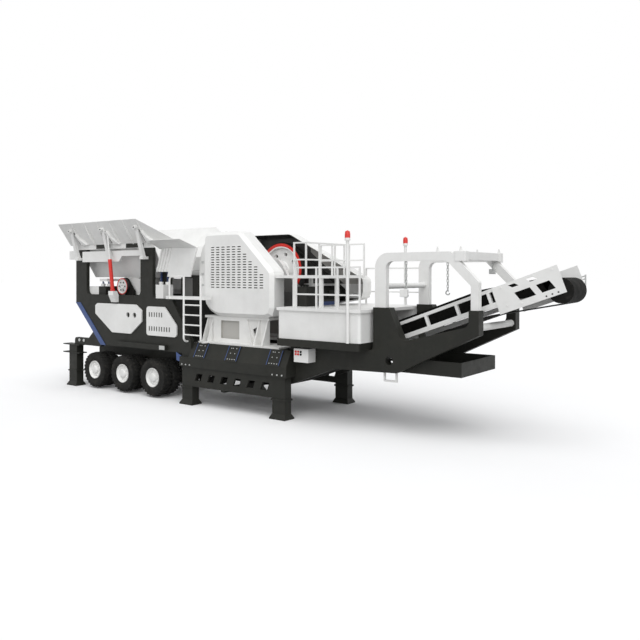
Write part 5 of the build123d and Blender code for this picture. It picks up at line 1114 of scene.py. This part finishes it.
def background(tree, colour, strength):
    """Plain surroundings of one colour."""
    made = tree.nodes.new("ShaderNodeBackground")
    made.inputs[0].default_value = (*colour, 1.0)
    made.inputs[1].default_value = strength
    return made.outputs[0]


SKY_LIGHT = 0.55
SKY_COLOUR = (0.97, 0.98, 1.0)

world = bpy.data.worlds.new("studio")
scene.world = world
world.use_nodes = True
tree = world.node_tree
tree.nodes.clear()
both = tree.nodes.new("ShaderNodeMixShader")
tree.links.new(seen(tree), both.inputs[0])
tree.links.new(background(tree, SKY_COLOUR, SKY_LIGHT), both.inputs[1])
tree.links.new(background(tree, even(1.0), 1.0), both.inputs[2])
world_out = tree.nodes.new("ShaderNodeOutputWorld")
tree.links.new(both.outputs[0], world_out.inputs[0])


def wide_lamp(name, toward, spread, power):
    """Large soft lamp far away, so that the floor is lit evenly."""
    data = bpy.data.lights.new(name, "SUN")
    data.angle = math.radians(spread)
    data.energy = power
    made = bpy.data.objects.new(name, data)
    made.rotation_euler = Vector(toward).to_track_quat("-Z", "Y").to_euler()
    scene.collection.objects.link(made)


wide_lamp("key", toward=(-0.35, 0.35, -1.0), spread=60.0, power=1.45)
wide_lamp("fill", toward=(-0.6, 0.8, -0.12), spread=80.0, power=1.8)


# Camera worked out from the photograph, with focal length and optical centre in its pixels

PHOTO_SIZE = 640.0
FOCAL_PIXELS = 684.1
CENTRE_PIXEL = (313.3, 274.1)
CAMERA_PLACE = (10614, -14055, 3500)
CAMERA_TURN = 37.17
SENSOR = 36.0
FARTHEST = 600.0

camera_data = bpy.data.cameras.new("camera")
camera_data.sensor_fit = "HORIZONTAL"
camera_data.sensor_width = SENSOR
camera_data.lens = FOCAL_PIXELS / PHOTO_SIZE * SENSOR
camera_data.shift_x = (PHOTO_SIZE / 2 - CENTRE_PIXEL[0]) / PHOTO_SIZE
camera_data.shift_y = -(PHOTO_SIZE / 2 - CENTRE_PIXEL[1]) / PHOTO_SIZE
camera_data.clip_end = FARTHEST
camera = bpy.data.objects.new("camera", camera_data)
camera.location = at(*CAMERA_PLACE)
camera.rotation_euler = (math.radians(90.0), 0.0, math.radians(CAMERA_TURN))
scene.collection.objects.link(camera)
scene.camera = camera
